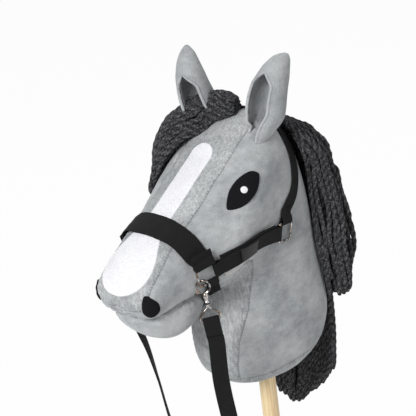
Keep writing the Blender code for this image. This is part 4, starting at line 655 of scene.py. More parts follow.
seam_lines = []
for seam in (THROAT_SEAM, FOREHEAD_SEAM):
    numbers = np.linspace(seam[0][0], seam[-1][0], 900)
    for side in (-1, 1):
        seam_lines.append(form_points(HEAD_SECTIONS, numbers, side * seam_turn(seam, numbers)))
seam_lines.append(form_points(HEAD_SECTIONS, np.full(900, BASE_SEAM), np.linspace(0, 2 * math.pi, 900)))
seam_lines.append(form_points(HEAD_SECTIONS, np.linspace(BASE_SEAM, CREST_END, 900), 0.0))
seam_tree = KDTree(sum(len(line) for line in seam_lines))
seam_reach = []
for line in seam_lines:
    reach = np.concatenate([[0], np.cumsum(np.linalg.norm(np.diff(line, axis=0), axis=1))])
    for spot, far in zip(line, reach):
        seam_tree.insert(Vector(spot), len(seam_reach))
        seam_reach.append(far)
seam_tree.balance()
print("seams run", round(sum(seam_reach[899::900]), 2), "m in all")

# %% The plush skin
# The skin's columns and rows, and the sleeve's lining as radius and height over the neck's base
COLUMNS, ROWS = 208, 320
SLEEVE = (
    (0.0113, 0.801 - NECK_BASE), (0.0113, 0.150), (0.0113, 0.060), (0.0114, 0.012), (0.0120, 0.004),
    (0.0133, 0.0008),
)
# How deep and wide a seam is pressed in, and how high, long and far its stitches pucker the plush
GROOVE_DEPTH, GROOVE_REACH = 0.0013, 0.0030
PUCKER_HEIGHT, PUCKER_PITCH, PUCKER_REACH = 0.00035, 0.0085, 0.0080
LAST = len(HEAD_SECTIONS) - 1.0
numbers = even_numbers(HEAD_SECTIONS, 0.0, LAST, ROWS)
turns = np.linspace(0, 2 * math.pi, COLUMNS, endpoint=False)
head_rings = form_points(HEAD_SECTIONS, numbers[:, None], turns[None, :])
sleeve_rings = [[(r * math.cos(t), r * math.sin(t), NECK_BASE + up) for t in turns] for r, up in SLEEVE]
head_plush = closed_skin("plush_head", np.concatenate([sleeve_rings, head_rings]), grey_plush)
points = np.array([v.co for v in head_plush.data.vertices])
normals = np.array([v.normal for v in head_plush.data.vertices])
number_of = np.concatenate([np.zeros(len(SLEEVE) * COLUMNS), np.repeat(numbers, COLUMNS), [0.0, LAST]])
turn_of = np.concatenate([np.tile(turns, len(SLEEVE) + len(numbers)), [0.0, 0.0]])
turn_of = np.abs((turn_of + math.pi) % (2 * math.pi) - math.pi)
found = [seam_tree.find(Vector(p)) for p in points]
seam_off = np.array([f[2] for f in found])
seam_far = np.array([seam_reach[f[1]] for f in found])
in_forehead = (number_of > CREST_END) & (turn_of < seam_turn(FOREHEAD_SEAM, number_of))
in_throat = turn_of > seam_turn(THROAT_SEAM, number_of)
on_gusset = in_forehead | (in_throat & (number_of < THROAT_END)) | (number_of < BASE_SEAM)
on_sleeve = np.arange(len(points)) < (len(SLEEVE) + 1) * COLUMNS
groove = GROOVE_DEPTH * np.exp(-(seam_off / GROOVE_REACH) ** 2)
wave = np.sin(seam_far * 2 * math.pi / PUCKER_PITCH)
pucker = PUCKER_HEIGHT * wave * np.exp(-(seam_off / PUCKER_REACH) ** 2)
lump = np.array([
    noise.noise(Vector(p) * 26.0) * 0.0011 + noise.noise(Vector(p) * 70.0) * 0.00035 for p in points
])
rise = np.where(on_sleeve, 0.0, lump - groove + pucker)
# The point that shuts the sleeve's blind end stays where it is
rise[-2] = 0.0
points = points + normals * rise[:, None]
head_plush.data.vertices.foreach_set("co", points.ravel().astype(np.float32))
head_plush.data.update()
put_values(head_plush, "seam", np.where(on_sleeve, 0.05, np.where(on_gusset, seam_off, -seam_off)))
put_values(head_plush, "stitch", seam_far)
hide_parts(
    "left_side_panel", "right_side_panel", "forehead_gusset", "throat_gusset", "base_panel",
    "neck_filling", "head_filling", "stick_pocket",
)
print("plush skin has", len(points), "points")

# %% [markdown]
# ## The lower jaw
# A second stuffed form tucks up under the lip, and the mouth is the fold between the two. Near that
# fold the real cloth is gathered by its stitches, so short creases are pressed in there.

# %% Lower jaw
def tree_of(*pieces):
    """The pieces' surfaces together, to drop points onto."""
    spots, faces = [], []
    for piece in pieces:
        start = len(spots)
        spots += [v.co.copy() for v in piece.data.vertices]
        faces += [tuple(start + k for k in polygon.vertices) for polygon in piece.data.polygons]
    return BVHTree.FromPolygons(spots, faces)


# How far from the lip the jaw's cloth is tucked in, and how deep where no crease changes it
TUCK_REACH, TUCK_DEPTH = 0.0115, 0.0034
JAW_COLUMNS, JAW_ROWS = 132, 100
head_tree = tree_of(head_plush)
numbers = even_numbers(JAW_SECTIONS, 0.0, len(JAW_SECTIONS) - 1.0, JAW_ROWS)
turns = np.linspace(0, 2 * math.pi, JAW_COLUMNS, endpoint=False)
jaw_rings = form_points(JAW_SECTIONS, numbers[:, None], turns[None, :])
jaw_plush = closed_skin("plush_jaw", jaw_rings, grey_plush)
points = np.array([v.co for v in jaw_plush.data.vertices])
normals = np.array([v.normal for v in jaw_plush.data.vertices])
lip_off = np.array([head_tree.find_nearest(Vector(p))[3] for p in points])
crease = np.array([noise.noise(Vector((p[0] * 210, p[1] * 60, p[2] * 330))) for p in points])
tuck = np.exp(-(lip_off / TUCK_REACH) ** 2)
lump = np.array([noise.noise(Vector(p) * 30.0) for p in points])
rise = 0.0010 * lump - tuck * TUCK_DEPTH * (1 - crease)
points = points + normals * rise[:, None]
jaw_plush.data.vertices.foreach_set("co", points.ravel().astype(np.float32))
jaw_plush.data.update()
# Near the lip the jaw gets the seam's line of painted shade, in the mouth's fold
put_values(jaw_plush, "seam", -lip_off)
put_values(jaw_plush, "stitch", np.zeros(len(points)))
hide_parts("jaw_cover", "jaw_filling")

# %% [markdown]
# The stitches of the mouth also pull the upper lip in at its edge, so the filling above bulges into
# a soft roll from the lip to the cheek.

# %% Lip roll
# Height, distance from the jaw and reach of the roll, depth and reach of the stitches that pull its
# edge in, and where the mouth ends at the back and at the top
ROLL_HEIGHT, ROLL_OFF, ROLL_REACH = 0.0024, 0.0090, 0.0055
PULL_DEPTH, PULL_REACH = 0.0012, 0.0025
MOUTH_BACK, MOUTH_TOP = -0.085, NECK_BASE + 0.235
jaw_tree = tree_of(jaw_plush)
points = np.array([v.co for v in head_plush.data.vertices])
normals = np.array([v.normal for v in head_plush.data.vertices])
by_mouth = np.where((points[:, 0] < MOUTH_BACK) & (points[:, 2] < MOUTH_TOP) & ~on_sleeve)[0]
off = np.array([jaw_tree.find_nearest(Vector(points[k]))[3] for k in by_mouth])
roll = ROLL_HEIGHT * np.exp(-((off - ROLL_OFF) / ROLL_REACH) ** 2)
roll -= PULL_DEPTH * np.exp(-(off / PULL_REACH) ** 2)
points[by_mouth] += normals[by_mouth] * roll[:, None]
head_plush.data.vertices.foreach_set("co", points.ravel().astype(np.float32))
head_plush.data.update()
print("lip rolled at", len(by_mouth), "points")
skin_tree = tree_of(head_plush, jaw_plush)


def skin_hit(point, inward, reach=0.25):
    """Where a line that starts outside the plush meets it."""
    inward = Vector(inward).normalized()
    place = skin_tree.ray_cast(Vector(point) - inward * reach, inward)[0]
    return place if place is not None else skin_tree.find_nearest(Vector(point))[0]


def skin_near(point):
    place, normal, _, _ = skin_tree.find_nearest(Vector(point))
    return place, normal


# %% [markdown]
# ## The blaze, the eyes and the nostrils
# These are flat cloth shapes sewn down round their edges. Each starts as its outline with rings
# inside it, is dropped onto the plush along one direction, and gets a low crown with a turned edge.
# A shape cut and projected this way follows the stuffed form everywhere, which a flat piece can't.

# %% Laid cloth shapes
def laid_shape(name, outline, rings, centre, out, x_axis, height, look, dome, edge=0.0012):
    """A cut shape laid on the plush: rings from its middle to its outline, closed underneath."""
    out = Vector(out).normalized()
    x_axis = Vector(x_axis)
    x_axis = (x_axis - out * x_axis.dot(out)).normalized()
    y_axis = out.cross(x_axis)
    outline = np.asarray(outline, float)
    size = np.linalg.norm(outline, axis=1).mean()
    steps = np.linspace(0, 1, rings + 1)[1:] ** 0.85
    rows = []
    for step in steps:
        row = []
        for x, y in outline * step:
            flat = Vector(centre) + x_axis * x + y_axis * y
            place = skin_hit(flat, -out)
            normal = skin_near(place)[1]
            inside = (1 - step) * size
            lift = height * math.sqrt(1 - (1 - min(1.0, inside / edge)) ** 2) + dome * (1 - step**2)
            row.append(tuple(place + normal * (lift if step < 1 else -0.0002)))
        rows.append(row)
    low = [tuple(Vector(spot) - out * 0.0012) for spot in rows[-1]]
    middle_place = skin_hit(Vector(centre), -out) - out * 0.0030
    under = [tuple(Vector(spot).lerp(middle_place, 0.5)) for spot in low]
    return closed_skin(name, np.array([*rows, low, under]), look)


def leaf(points, count):
    """A smooth closed outline through corner points, given in metres."""
    points = np.array(points)
    around = np.concatenate([points[-1:], points, points[:2]])
    return smooth_through(around, np.linspace(1, len(points) + 1, count, endpoint=False))


EYE_CUT = (
    (-0.0290, -0.0010), (-0.0250, 0.0062), (-0.0160, 0.0110), (-0.0042, 0.0138), (0.0100, 0.0132),
    (0.0215, 0.0088), (0.0300, 0.0030), (0.0298, -0.0012), (0.0225, -0.0078), (0.0140, -0.0122),
    (0.0020, -0.0146), (-0.0115, -0.0138), (-0.0225, -0.0090), (-0.0285, -0.0040),
)
NOSTRIL_CUT = (
    (0.0121, -0.0092), (0.0122, -0.0024), (0.0072, 0.0056), (0.0005, 0.0094), (-0.0056, 0.0092),
    (-0.0110, 0.0052), (-0.0123, -0.0004), (-0.0070, -0.0072), (0.0026, -0.0103),
)
# The felt's nostril is cut this much larger than its outline, and the glint is a small disc
NOSTRIL_GROWTH = 1.08
GLINT_RADIUS, FELT_HEIGHT = 0.0047, 0.0017
# Where the left eye and nostril are laid on, from which way, and where their cuts' X axes point
EYE_SPOT, EYE_OUT, EYE_AXIS = (-0.0647, -0.0670, 0.8696), (-0.332, -0.816, 0.473), (-0.851, 0.043, -0.523)
NOSTRIL_SPOT, NOSTRIL_OUT, NOSTRIL_AXIS = (-0.2105, -0.0445, 0.7715), (-0.72, -0.66, -0.10), (0.35, 0, 1)
for side, word in ((-1, "left"), (1, "right")):
    centre, out, axis = sided(EYE_SPOT, side), sided(EYE_OUT, side), sided(EYE_AXIS, side)
    cut = np.array(leaf(EYE_CUT, 72))
    cut[:, 1] *= side
    eye = laid_shape(f"{word}_felt_eye", cut, 14, centre, out, axis, FELT_HEIGHT, black_felt, 0.0008)
    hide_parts(f"{word}_eye")
    around = np.linspace(0, 2 * math.pi, 32, endpoint=False)
    disc = [(GLINT_RADIUS * math.cos(t), GLINT_RADIUS * math.sin(t)) for t in around]
    glint = laid_shape(
        f"{word}_white_glint", disc, 6, centre, out, axis, 2 * FELT_HEIGHT, white_plush, 0.0003, 0.0008,
    )
    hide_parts(f"{word}_glint")
    cut = np.array(leaf(NOSTRIL_CUT, 48)) * NOSTRIL_GROWTH
    cut[:, 1] *= side
    nostril = laid_shape(
        f"{word}_felt_nostril", cut, 10, sided(NOSTRIL_SPOT, side), sided(NOSTRIL_OUT, side),
        NOSTRIL_AXIS, FELT_HEIGHT, black_felt, 0.0012,
    )
    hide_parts(f"{word}_nostril")
print("eyes and nostrils laid on")

# %% Blaze
BLAZE_TOP, BLAZE_LENGTH = Vector((-0.0515, 0.0, 0.9120)), 0.2085
BLAZE_VIEW, BLAZE_DOWN = Vector((-0.80, 0, 0.60)), Vector((-0.60, 0, -0.80))
# Half its width on the forehead and on the nose, where it widens, and how quickly
BLAZE_NARROW, BLAZE_WIDE, BLAZE_WIDENS, BLAZE_SPEED = 0.0168, 0.0385, 0.68, 17
BLAZE_HEIGHT, BLAZE_EDGE = 0.0018, 0.0016
rows = []
for share in 0.5 - 0.5 * np.cos(np.linspace(0, math.pi, 150)):
    half = BLAZE_NARROW + (BLAZE_WIDE - BLAZE_NARROW) / (1 + math.exp(-(share - BLAZE_WIDENS) * BLAZE_SPEED))
    # It ends round on the nose and blunt on the forehead
    half *= math.sqrt(max(0.0, 1 - (max(0.0, share - 0.80) / 0.2004) ** 2.6))
    half *= math.sqrt(max(0.02, 1 - (1 - min(1.0, share / 0.08)) ** 2))
    row = []
    for across in np.sin(np.linspace(-math.pi / 2, math.pi / 2, 41)):
        flat = BLAZE_TOP + BLAZE_DOWN * BLAZE_LENGTH * share + Vector((0, half * across, 0))
        place = skin_hit(flat, -BLAZE_VIEW)
        inside = min(half * (1 - abs(across)), share * BLAZE_LENGTH, (1 - share) * BLAZE_LENGTH)
        bend = math.sqrt(max(0.0, 1 - (1 - min(1.0, inside / BLAZE_EDGE)) ** 2))
        lift = BLAZE_HEIGHT * bend - 0.0001
        row.append(tuple(place + skin_near(place)[1] * lift))
    under = [tuple(Vector(p) - skin_near(p)[1] * 0.0022) for p in row]
    rows.append(row + under[::-1])
blaze = closed_skin("white_blaze", np.array(rows), white_plush)
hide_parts("blaze")
print("blaze is", round(BLAZE_LENGTH * 1000), "mm long")

# %% [markdown]
# ## The ears
# Each ear is a cupped leaf of plush with a plush lining set a little back from its rim. Its shape is
# a straight spine with arms that curve forward round the opening, so a grid over spine and arms
# describes it best; the cloth gets its thickness by a second layer of points inside the first.

# %% Ears
# Each ear: foot and tip over the neck's base, the way its opening faces, its depth, half its width,
# and how many degrees each arm wraps round
EARS = {
    "left": ((0.0170, -0.0515, 0.3350), (0.0410, -0.0580, 0.4235), (-0.99, -0.10, 0.0), 0.025, 0.0195, 130),
    "right": ((0.0130, 0.0465, 0.3350), (-0.0100, 0.0620, 0.4330), (-0.91, -0.42, 0.0), 0.028, 0.0175, 125),
}


def ear_grid(ear, side, feet, tuck, high, rows, columns, spread=1.0):
    """Points over an ear's spine and arms, and how full the leaf is at each row."""
    base, tip, forward, depth, half, wrap = ear
    wrap = math.radians(wrap) * spread
    foot = Vector((0, 0, NECK_BASE))
    base, tip, ahead = Vector(base) + foot, Vector(tip) + foot, Vector(forward)
    axis = (tip - base).normalized()
    ahead = (ahead - axis * ahead.dot(axis)).normalized()
    across = axis.cross(ahead)
    steps = np.sin(np.linspace(0, math.pi / 2, rows)) ** 0.9
    turns = np.linspace(-1, 1, columns)
    grid, fullness = [], []
    for step in steps:
        row = []
        for turn in turns:
            # The foot's cut edge runs from the inner arm round the back to the outer arm
            foot_share = float(np.interp(-side * turn, (-1, -0.2, 0.5, 1), feet))
            share = foot_share + (high - foot_share) * step
            up = max(0.0, share)
            full = (1 - up**3) ** 0.6
            close = 1 + EAR_CLOSE * (1 - float(ease(up / 0.30)))
            close += EAR_SHUT * float(ease((up - 0.58) / 0.30))
            angle = turn * min(wrap * close, math.radians(174))
            wide = full * (0.88 + 0.12 * float(ease(share / 0.35)))
            spine = base + (tip - base) * share + ahead * 0.004 * math.sin(math.pi * up)
            spot = spine + ahead * depth * (1 - math.cos(angle)) * wide
            spot += across * half * math.sin(angle) * wide
            sewn = float(ease(1 - (share - foot_share) / tuck))
            if sewn > 0:
                place, outward = skin_near(spot)
                spot = spot.lerp(place - outward * 0.0035, 0.92 * sewn)
            row.append(spot)
        grid.append(row)
        fullness.append(full)
    return np.array([[tuple(p) for p in row] for row in grid]), np.array(fullness)


def cloth_wall(name, leaf_grid, inner, outer, look, lumps, bead=1.0):
    """A closed wall of cloth over an open grid, with a rounded bead along both rims."""
    grid, fullness = leaf_grid
    thin = np.minimum(1.0, fullness / 0.42)[:, None, None]
    down = np.gradient(grid, axis=0)
    along = np.gradient(grid, axis=1)
    normal = np.cross(along, down)
    normal /= np.maximum(np.linalg.norm(normal, axis=2, keepdims=True), 1e-9)
    across = along / np.maximum(np.linalg.norm(along, axis=2, keepdims=True), 1e-9)
    rough = np.array([[noise.noise(Vector(p) * 60.0) for p in row] for row in grid])[..., None] * lumps
    top = grid + normal * (outer + rough) * thin
    low = grid + normal * (inner + rough) * thin
    centre = (top + low) / 2
    half = np.linalg.norm(top - low, axis=2) / 2 * bead

    def rim(i, column, way):
        """The bead at one rim of a row: way is 1 at the last column and -1 at the first."""
        bead_points = []
        for turn in np.linspace(1.9, -1.9, 9):
            out = across[i, column] * way * (0.5 + math.cos(turn)) - normal[i, column] * way * math.sin(turn)
            bead_points.append(centre[i, column] + half[i, column] * out)
        return bead_points

    rows = [list(top[i]) + rim(i, -1, 1) + list(low[i][::-1]) + rim(i, 0, -1) for i in range(len(grid))]
    return closed_skin(name, np.array(rows), look)


# How far up each foot is cut, from the inner arm round the back to the outer arm, over what length
# it's drawn in to the plush, and how far the arms close there and at the tip
EAR_FEET = ((0.13, 0.06, 0.05, -0.06), (0.32, 0.10, 0.0, 0.16))
EAR_TUCKS = (0.17, 0.07)
EAR_CLOSE = 0.22
EAR_SHUT = 0.50
COVER_THICK, RIM_BEAD = 0.0030, 1.35
# How far up its ear's spine each cloth goes, and how far round its arms the lining does
COVER_TOP, LINING_TOP, LINING_SPREAD = 0.994, 0.80, 0.93
for side, feet, tuck, (word, ear) in zip((-1, 1), EAR_FEET, EAR_TUCKS, EARS.items()):
    outside = ear_grid(ear, side, feet, tuck, COVER_TOP, 96, 72)
    cover = cloth_wall(f"{word}_plush_ear", outside, 0.0, -COVER_THICK, ear_plush, 0.0007, RIM_BEAD)
    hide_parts(f"{word}_ear")
    inside = ear_grid(ear, side, feet, tuck, LINING_TOP, 80, 66, LINING_SPREAD)
    lining = cloth_wall(f"{word}_ear_inside", inside, 0.0003, 0.0019, ear_plush, 0.0006)
    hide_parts(f"{word}_ear_lining")
print("ears made")

# %% [markdown]
# ## The halter
# Flat straps of webbing run between four metal rings. Each end is folded round a ring's bar and
# stitched back under itself. A strap is stiff across its width and bends only along its length, so
# at each step its straight cross-section is fitted to the plush beneath, then lifted to lie on it.

# %% Rings' places and a strap's way round a bar
# The rings' wire and corner, their inside widths, and the left rings' places and own axes
WIRE, RING_CORNER = 0.0014, 0.0028
LOWER_INSIDE, UPPER_INSIDE = 0.0225, 0.0215
LOWER_SPOT, LOWER_X, LOWER_Z = (-0.13635, -0.0651, 0.7888), (0.968, 0, 0.250), (-0.2767, -0.95, -0.1448)
UPPER_SPOT, UPPER_X, UPPER_Z = (-0.00452, -0.06803, 0.79356), (-0.985, 0, 0.170), (0.1175, -0.9871, -0.1089)
lower_place = {s: frame_of(sided(LOWER_SPOT, s), LOWER_X, sided(LOWER_Z, s)) for s in SIDES}
upper_place = {s: frame_of(sided(UPPER_SPOT, s), UPPER_X, sided(UPPER_Z, s)) for s in SIDES}


def up_way(place):
    return 1 if (place.to_3x3() @ Vector((0, 1, 0))).z > 0 else -1


class Bar:
    """One straight side of a ring that a strap's end is folded round."""

    def __init__(self, place, toward, inside, slide=0.0):
        turn = place.to_3x3()
        self.out = (turn @ Vector((*toward, 0))).normalized()
        self.axis = (turn @ Vector((-toward[1], toward[0], 0))).normalized()
        self.normal = (turn @ Vector((0, 0, 1))).normalized()
        reach = inside / 2 + WIRE
        self.centre = place @ Vector((toward[0] * reach, toward[1] * reach, 0)) + self.axis * slide
        self.start = self.centre + self.out * 0.0015
        self.lead = self.centre + self.out * 0.012


# Thickness of the webbing, how far an end goes on under itself, and how far from a bar the webbing
# leans over to it
WEB, TAIL, LEAN = 0.0017, 0.018, 0.016


def strap(name, points, width, thickness, rise, look, ends=(None, None), end_width=None):
    """Webbing over the plush along chosen points, each end with a bar folded round it."""
    spots, reach = even_path(points, 0.0025)
    count = len(spots)
    tangents = np.gradient(spots, axis=0)
    tangents /= np.linalg.norm(tangents, axis=1)[:, None]
    normals = np.array([tuple(skin_near(p)[1]) for p in spots])
    for _ in range(14):
        eased = (normals[:-2] + 2 * normals[1:-1] + normals[2:]) / 4
        normals = np.concatenate([normals[:1], eased, normals[-1:]])
        normals /= np.linalg.norm(normals, axis=1)[:, None]
    if ends[0]:
        for k in range(count):
            for bar, far in ((ends[0], reach[k]), (ends[1], reach[-1] - reach[k])):
                if far < LEAN:
                    share = 1 - float(ease(far / LEAN))
                    normals[k] = Vector(normals[k]).lerp(bar.normal, share).normalized()
    acrosses = np.cross(normals, tangents)
    acrosses /= np.linalg.norm(acrosses, axis=1)[:, None]
    middles = []
    for k in range(count):
        hits = []
        for step in (-0.42, -0.21, 0.0, 0.21, 0.42):
            start = Vector(spots[k]) + Vector(acrosses[k]) * width * step
            hits.append((skin_hit(start, -Vector(normals[k]), 0.014) - start).dot(Vector(normals[k])))
        middles.append(sum(hits) / 5 * 0.45 + max(hits) * 0.55 + rise + thickness / 2)
    middles = np.array(middles)
    for _ in range(10):
        middles[1:-1] = (middles[:-2] + 2 * middles[1:-1] + middles[2:]) / 4
    spots = spots + normals * middles[:, None]
    widths = np.full(count, width)
    radius = WIRE + 0.0003 + thickness / 2

    def fold_lift(far):
        """How far a fold's web stands off its bar's plane, by distance from the bar."""
        return radius + (thickness / 2 + 0.0002 - radius) * float(ease(far / 0.009))

    for which, bar in enumerate(ends):
        if not bar:
            continue
        for k in range(count):
            far = reach[k] if which == 0 else reach[-1] - reach[k]
            if far > 0.06:
                continue
            wider = (width - end_width) * float(ease(far / (1.2 * width)))
            widths[k] = min(widths[k], end_width - 0.0006 + wider)
            hold = 1 - float(ease(far / 0.020))
            flat = bar.start + bar.out * far + bar.normal * fold_lift(far)
            sign = 1 if Vector(acrosses[k]).dot(bar.axis) > 0 else -1
            spots[k] = Vector(spots[k]).lerp(flat, hold)
            acrosses[k] = Vector(acrosses[k]).lerp(bar.axis * sign, hold).normalized()
    rows = [(spots[k], acrosses[k], normals[k], widths[k]) for k in range(count)]
    for which, bar in enumerate(ends):
        if not bar:
            continue
        sign = 1 if Vector(acrosses[-which]).dot(bar.axis) > 0 else -1
        fold = []
        for turn in np.linspace(0, math.pi, 11):
            out = bar.normal * math.cos(turn) - bar.out * math.sin(turn)
            fold.append((bar.centre + out * radius, bar.axis * sign, out, end_width - 0.0006))
        for far in np.linspace(0.002, TAIL, 7):
            spot = bar.centre + bar.out * far - bar.normal * fold_lift(far)
            fold.append((spot, bar.axis * sign, -bar.normal, end_width - 0.0006))
        rows = fold[::-1] + rows if which == 0 else rows + fold
    spots, acrosses, normals = ([tuple(row[k]) for row in rows] for k in range(3))
    widths = [row[3] for row in rows]
    return web_along(name, spots, acrosses, normals, width, thickness, look, widths=widths)


def band_over(start, middle, end, centre, count):
    """Points of a band round the nose from start over middle to end, found on the plush."""
    start, middle, end, centre = (Vector(p) for p in (start, middle, end, centre))
    normal = (start - middle).cross(end - middle).normalized()
    centre = centre - normal * (centre - middle).dot(normal)
    up = (middle - centre).normalized()
    aside = normal.cross(up)

    def turn_of(spot):
        return math.atan2((spot - centre).dot(aside), (spot - centre).dot(up))

    edge, top = (start - centre).length, (middle - centre).length
    spots = []
    for turn in np.linspace(turn_of(start), turn_of(end), count):
        out = up * math.cos(turn) + aside * math.sin(turn)
        guess = top + (edge - top) * abs(turn / turn_of(start)) + 0.014
        spots.append(tuple(skin_hit(centre, -out, guess)))
    return spots


def ring_to_ring(bars, middle, centre, count):
    """A band's points from one bar to the other, its ends on the bars themselves."""
    spots = band_over(bars[0].start, middle, bars[1].start, centre, count)
    return [tuple(bars[0].start)] + spots[1:-1] + [tuple(bars[1].start)]


# %% Straps
# How wide each folded end is on its bar
NOSE_FOLD, CHEEK_FOLD, CHIN_FOLD = 0.0280, 0.0195, 0.0170
# How far the cheek piece bows up between its rings
CHEEK_BOW = 0.0090
# The chin strap's ends stand this far back on their bars
CHIN_SLIDE = 0.0032
# The noseband's highest and the chin strap's lowest place, and the centres that they go round
NOSE_TOP, NOSE_CENTRE = (-0.1535, 0, 0.8430), (-0.142, 0, 0.793)
CHIN_LOW, CHIN_CENTRE = (-0.1130, 0, 0.7260), (-0.125, 0, 0.773)
# The crown strap's way up the left side behind the eye, and its top between the ears
CROWN_CLIMB = ((0.0230, -0.0590, 0.8390), (0.0330, -0.0530, 0.8710), (0.0330, -0.0400, 0.9090))
CROWN_TOP = (0.0165, 0, 0.9370)
# How far each layer's underside stands off the plush
LAID, PAD_RISE, NOSE_RISE, CHEEK_RISE, PATCH_RISE = 0.0006, 0.0018, 0.0019, 0.0050, 0.0071
nose_bars = [Bar(lower_place[s], (0, up_way(lower_place[s])), LOWER_INSIDE) for s in SIDES]
spots = ring_to_ring(nose_bars, NOSE_TOP, NOSE_CENTRE, 19)
noseband = strap("webbing_noseband", spots, NOSE_WIDTH, WEB, NOSE_RISE, wide_webbing, nose_bars, NOSE_FOLD)
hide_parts("noseband")
chin_bars = [Bar(lower_place[s], (0, -up_way(lower_place[s])), LOWER_INSIDE, -s * CHIN_SLIDE) for s in SIDES]
spots = ring_to_ring(chin_bars, CHIN_LOW, CHIN_CENTRE, 15)
chin = strap("webbing_chin_strap", spots, CHIN_WIDTH, WEB, LAID, chin_webbing, chin_bars, CHIN_FOLD)
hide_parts("chin_strap")
crown_bars = [Bar(upper_place[s], (0, up_way(upper_place[s])), UPPER_INSIDE) for s in SIDES]
halves = []
for bar, side in zip(crown_bars, SIDES):
    on_plush = [tuple(skin_near(sided(p, side))[0]) for p in CROWN_CLIMB]
    halves.append([tuple(bar.start), tuple(bar.lead)] + on_plush)
line = halves[0] + [tuple(skin_near(CROWN_TOP)[0])] + halves[1][::-1]
crown = strap("webbing_crown_strap", line, STRAP_WIDTH, WEB, LAID, strap_webbing, crown_bars, CHEEK_FOLD)
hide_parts("crown_strap")

# How far the pad stops short of each ring, its thickness, its lining's width and thickness, and how
# far the lining droops under the pad's lower end
PAD_INSET, PAD_THICKNESS = 0.009, 0.0030
LINING_WIDTH, LINING_THICKNESS, LINING_DROOP = PAD_WIDTH + 0.0005, 0.0016, 0.0090
# Where the patch's middle is on the straight line between the rings, as a share of it, the patch's
# length on that line, its width and its thickness
PATCH_AT, PATCH_LENGTH, PATCH_WIDTH, PATCH_THICKNESS = 0.42, 0.026, 0.018, 0.0010
for side, word in ((-1, "left"), (1, "right")):
    low = Bar(lower_place[side], (1, 0), LOWER_INSIDE)
    high = Bar(upper_place[side], (1, 0), UPPER_INSIDE)
    run = high.start - low.start

    def on_cheek(share):
        bow = Vector((0, 0, CHEEK_BOW * math.sin(math.pi * share)))
        return tuple(skin_near(low.start + run * share + bow)[0])

    inset = PAD_INSET / run.length
    soft = [on_cheek(share) for share in np.linspace(inset, 1 - inset, 7)]
    droop = [tuple(Vector(p) - Vector((0, 0, LINING_DROOP)) * (1 - k / 6)) for k, p in enumerate(soft)]
    lining = strap(f"{word}_pale_lining", droop, LINING_WIDTH, LINING_THICKNESS, LAID, pale_lining)
    pad = strap(f"{word}_black_pad", soft, PAD_WIDTH, PAD_THICKNESS, PAD_RISE, pad_cloth)
    between = [on_cheek(s) for s in (0.3, 0.5, 0.7)]
    line = [tuple(low.start), tuple(low.lead), *between, tuple(high.lead), tuple(high.start)]
    cheek = strap(
        f"{word}_webbing_cheek_strap", line, STRAP_WIDTH, WEB, CHEEK_RISE, strap_webbing,
        (low, high), CHEEK_FOLD,
    )
    at = PATCH_AT + np.linspace(-0.5, 0.5, 5) * PATCH_LENGTH / run.length
    line = [on_cheek(s) for s in at]
    patch = strap(
        f"{word}_bare_patch", line, PATCH_WIDTH, PATCH_THICKNESS, PATCH_RISE, patch_leather,
    )
    for piece, node, slot in (
        (lining, "pad_lining", "pad_lining"), (pad, "cheek_pad", "black_webbing"),
        (cheek, "cheek_strap", "black_webbing"), (patch, "patch", "patch_leather"),
    ):
        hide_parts(f"{word}_{node}")
print("halter laid on")

# %% [markdown]
# ## Rings, hooks and swivels
# The hardware is cast and bent from round wire. A wire is a round section carried along a chain of
# points, and a turned part such as the hook's shank is a profile carried round its axis. Both are
# made as rings of points, fine enough that the bright metal shows no flats.

# %% Wire and turned parts
# Points round a wire and round a turned part, and steps in a ring's corner
WIRE_SIDES, TURNED_SIDES, CORNER_STEPS = 16, 28, 8


def wire_skin(name, points, radii, place, look, body, closed=False):
    """A round wire along points in a plane of its own frame, closed into a ring or with round ends."""
    points = np.asarray(points, float)
    count = len(points)
    if closed:
        ahead = np.roll(points, -1, axis=0) - np.roll(points, 1, axis=0)
    else:
        ahead = np.gradient(points, axis=0)
    ahead /= np.linalg.norm(ahead, axis=1)[:, None]
    flat = np.ptp(points, axis=0).argmin()
    side = np.zeros(3)
    side[flat] = 1.0
    out = np.cross(ahead, side)
    turns = np.linspace(0, 2 * math.pi, WIRE_SIDES, endpoint=False)
    radii = np.broadcast_to(np.asarray(radii, float), (count,))
    rings = []
    for point, away, radius in zip(points, out, radii):
        spots = [point + (away * math.cos(t) + side * math.sin(t)) * radius for t in turns]
        rings.append([tuple(place @ Vector(spot)) for spot in spots])
    if not closed:
        return closed_skin(name, rings, look, body)
    spots = [spot for ring in rings for spot in ring]
    faces = ring_faces(count, WIRE_SIDES)
    last = (count - 1) * WIRE_SIDES
    for j in range(WIRE_SIDES):
        k = (j + 1) % WIRE_SIDES
        faces.append((last + j, last + k, k, j))
    return face_out(shape(name, spots, faces, look, body))


def rounded_square(inside, corner, radius):
    half = inside / 2 + radius
    points = []
    for quarter in range(4):
        middle = (half - corner) * np.array([(1, 1), (-1, 1), (-1, -1), (1, -1)][quarter])
        for step in range(CORNER_STEPS + 1):
            turn = math.pi / 2 * (quarter + step / CORNER_STEPS)
            points.append((middle[0] + corner * math.cos(turn), middle[1] + corner * math.sin(turn), 0))
    return points


def turned(name, profile, place, look, body):
    """A turned part: (height, radius) pairs carried round the Z axis of its place."""
    turns = np.linspace(0, 2 * math.pi, TURNED_SIDES, endpoint=False)
    rings = []
    for height, radius in profile:
        spots = [Vector((radius * math.cos(t), radius * math.sin(t), height)) for t in turns]
        rings.append([tuple(place @ spot) for spot in spots])
    return closed_skin(name, rings, look, body)


def joined(name, pieces, body):
    """Several pieces of one casting as one object."""
    bpy.ops.object.select_all(action="DESELECT")
    for piece in pieces:
        piece.select_set(True)
    bpy.context.view_layer.objects.active = pieces[0]
    bpy.ops.object.join()
    whole = bpy.context.active_object
    whole.name = name
    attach(whole, body)
    return whole


def arc(radius, start, end, count):
    return [(radius * math.cos(t), 0, radius * math.sin(t)) for t in np.linspace(start, end, count)]


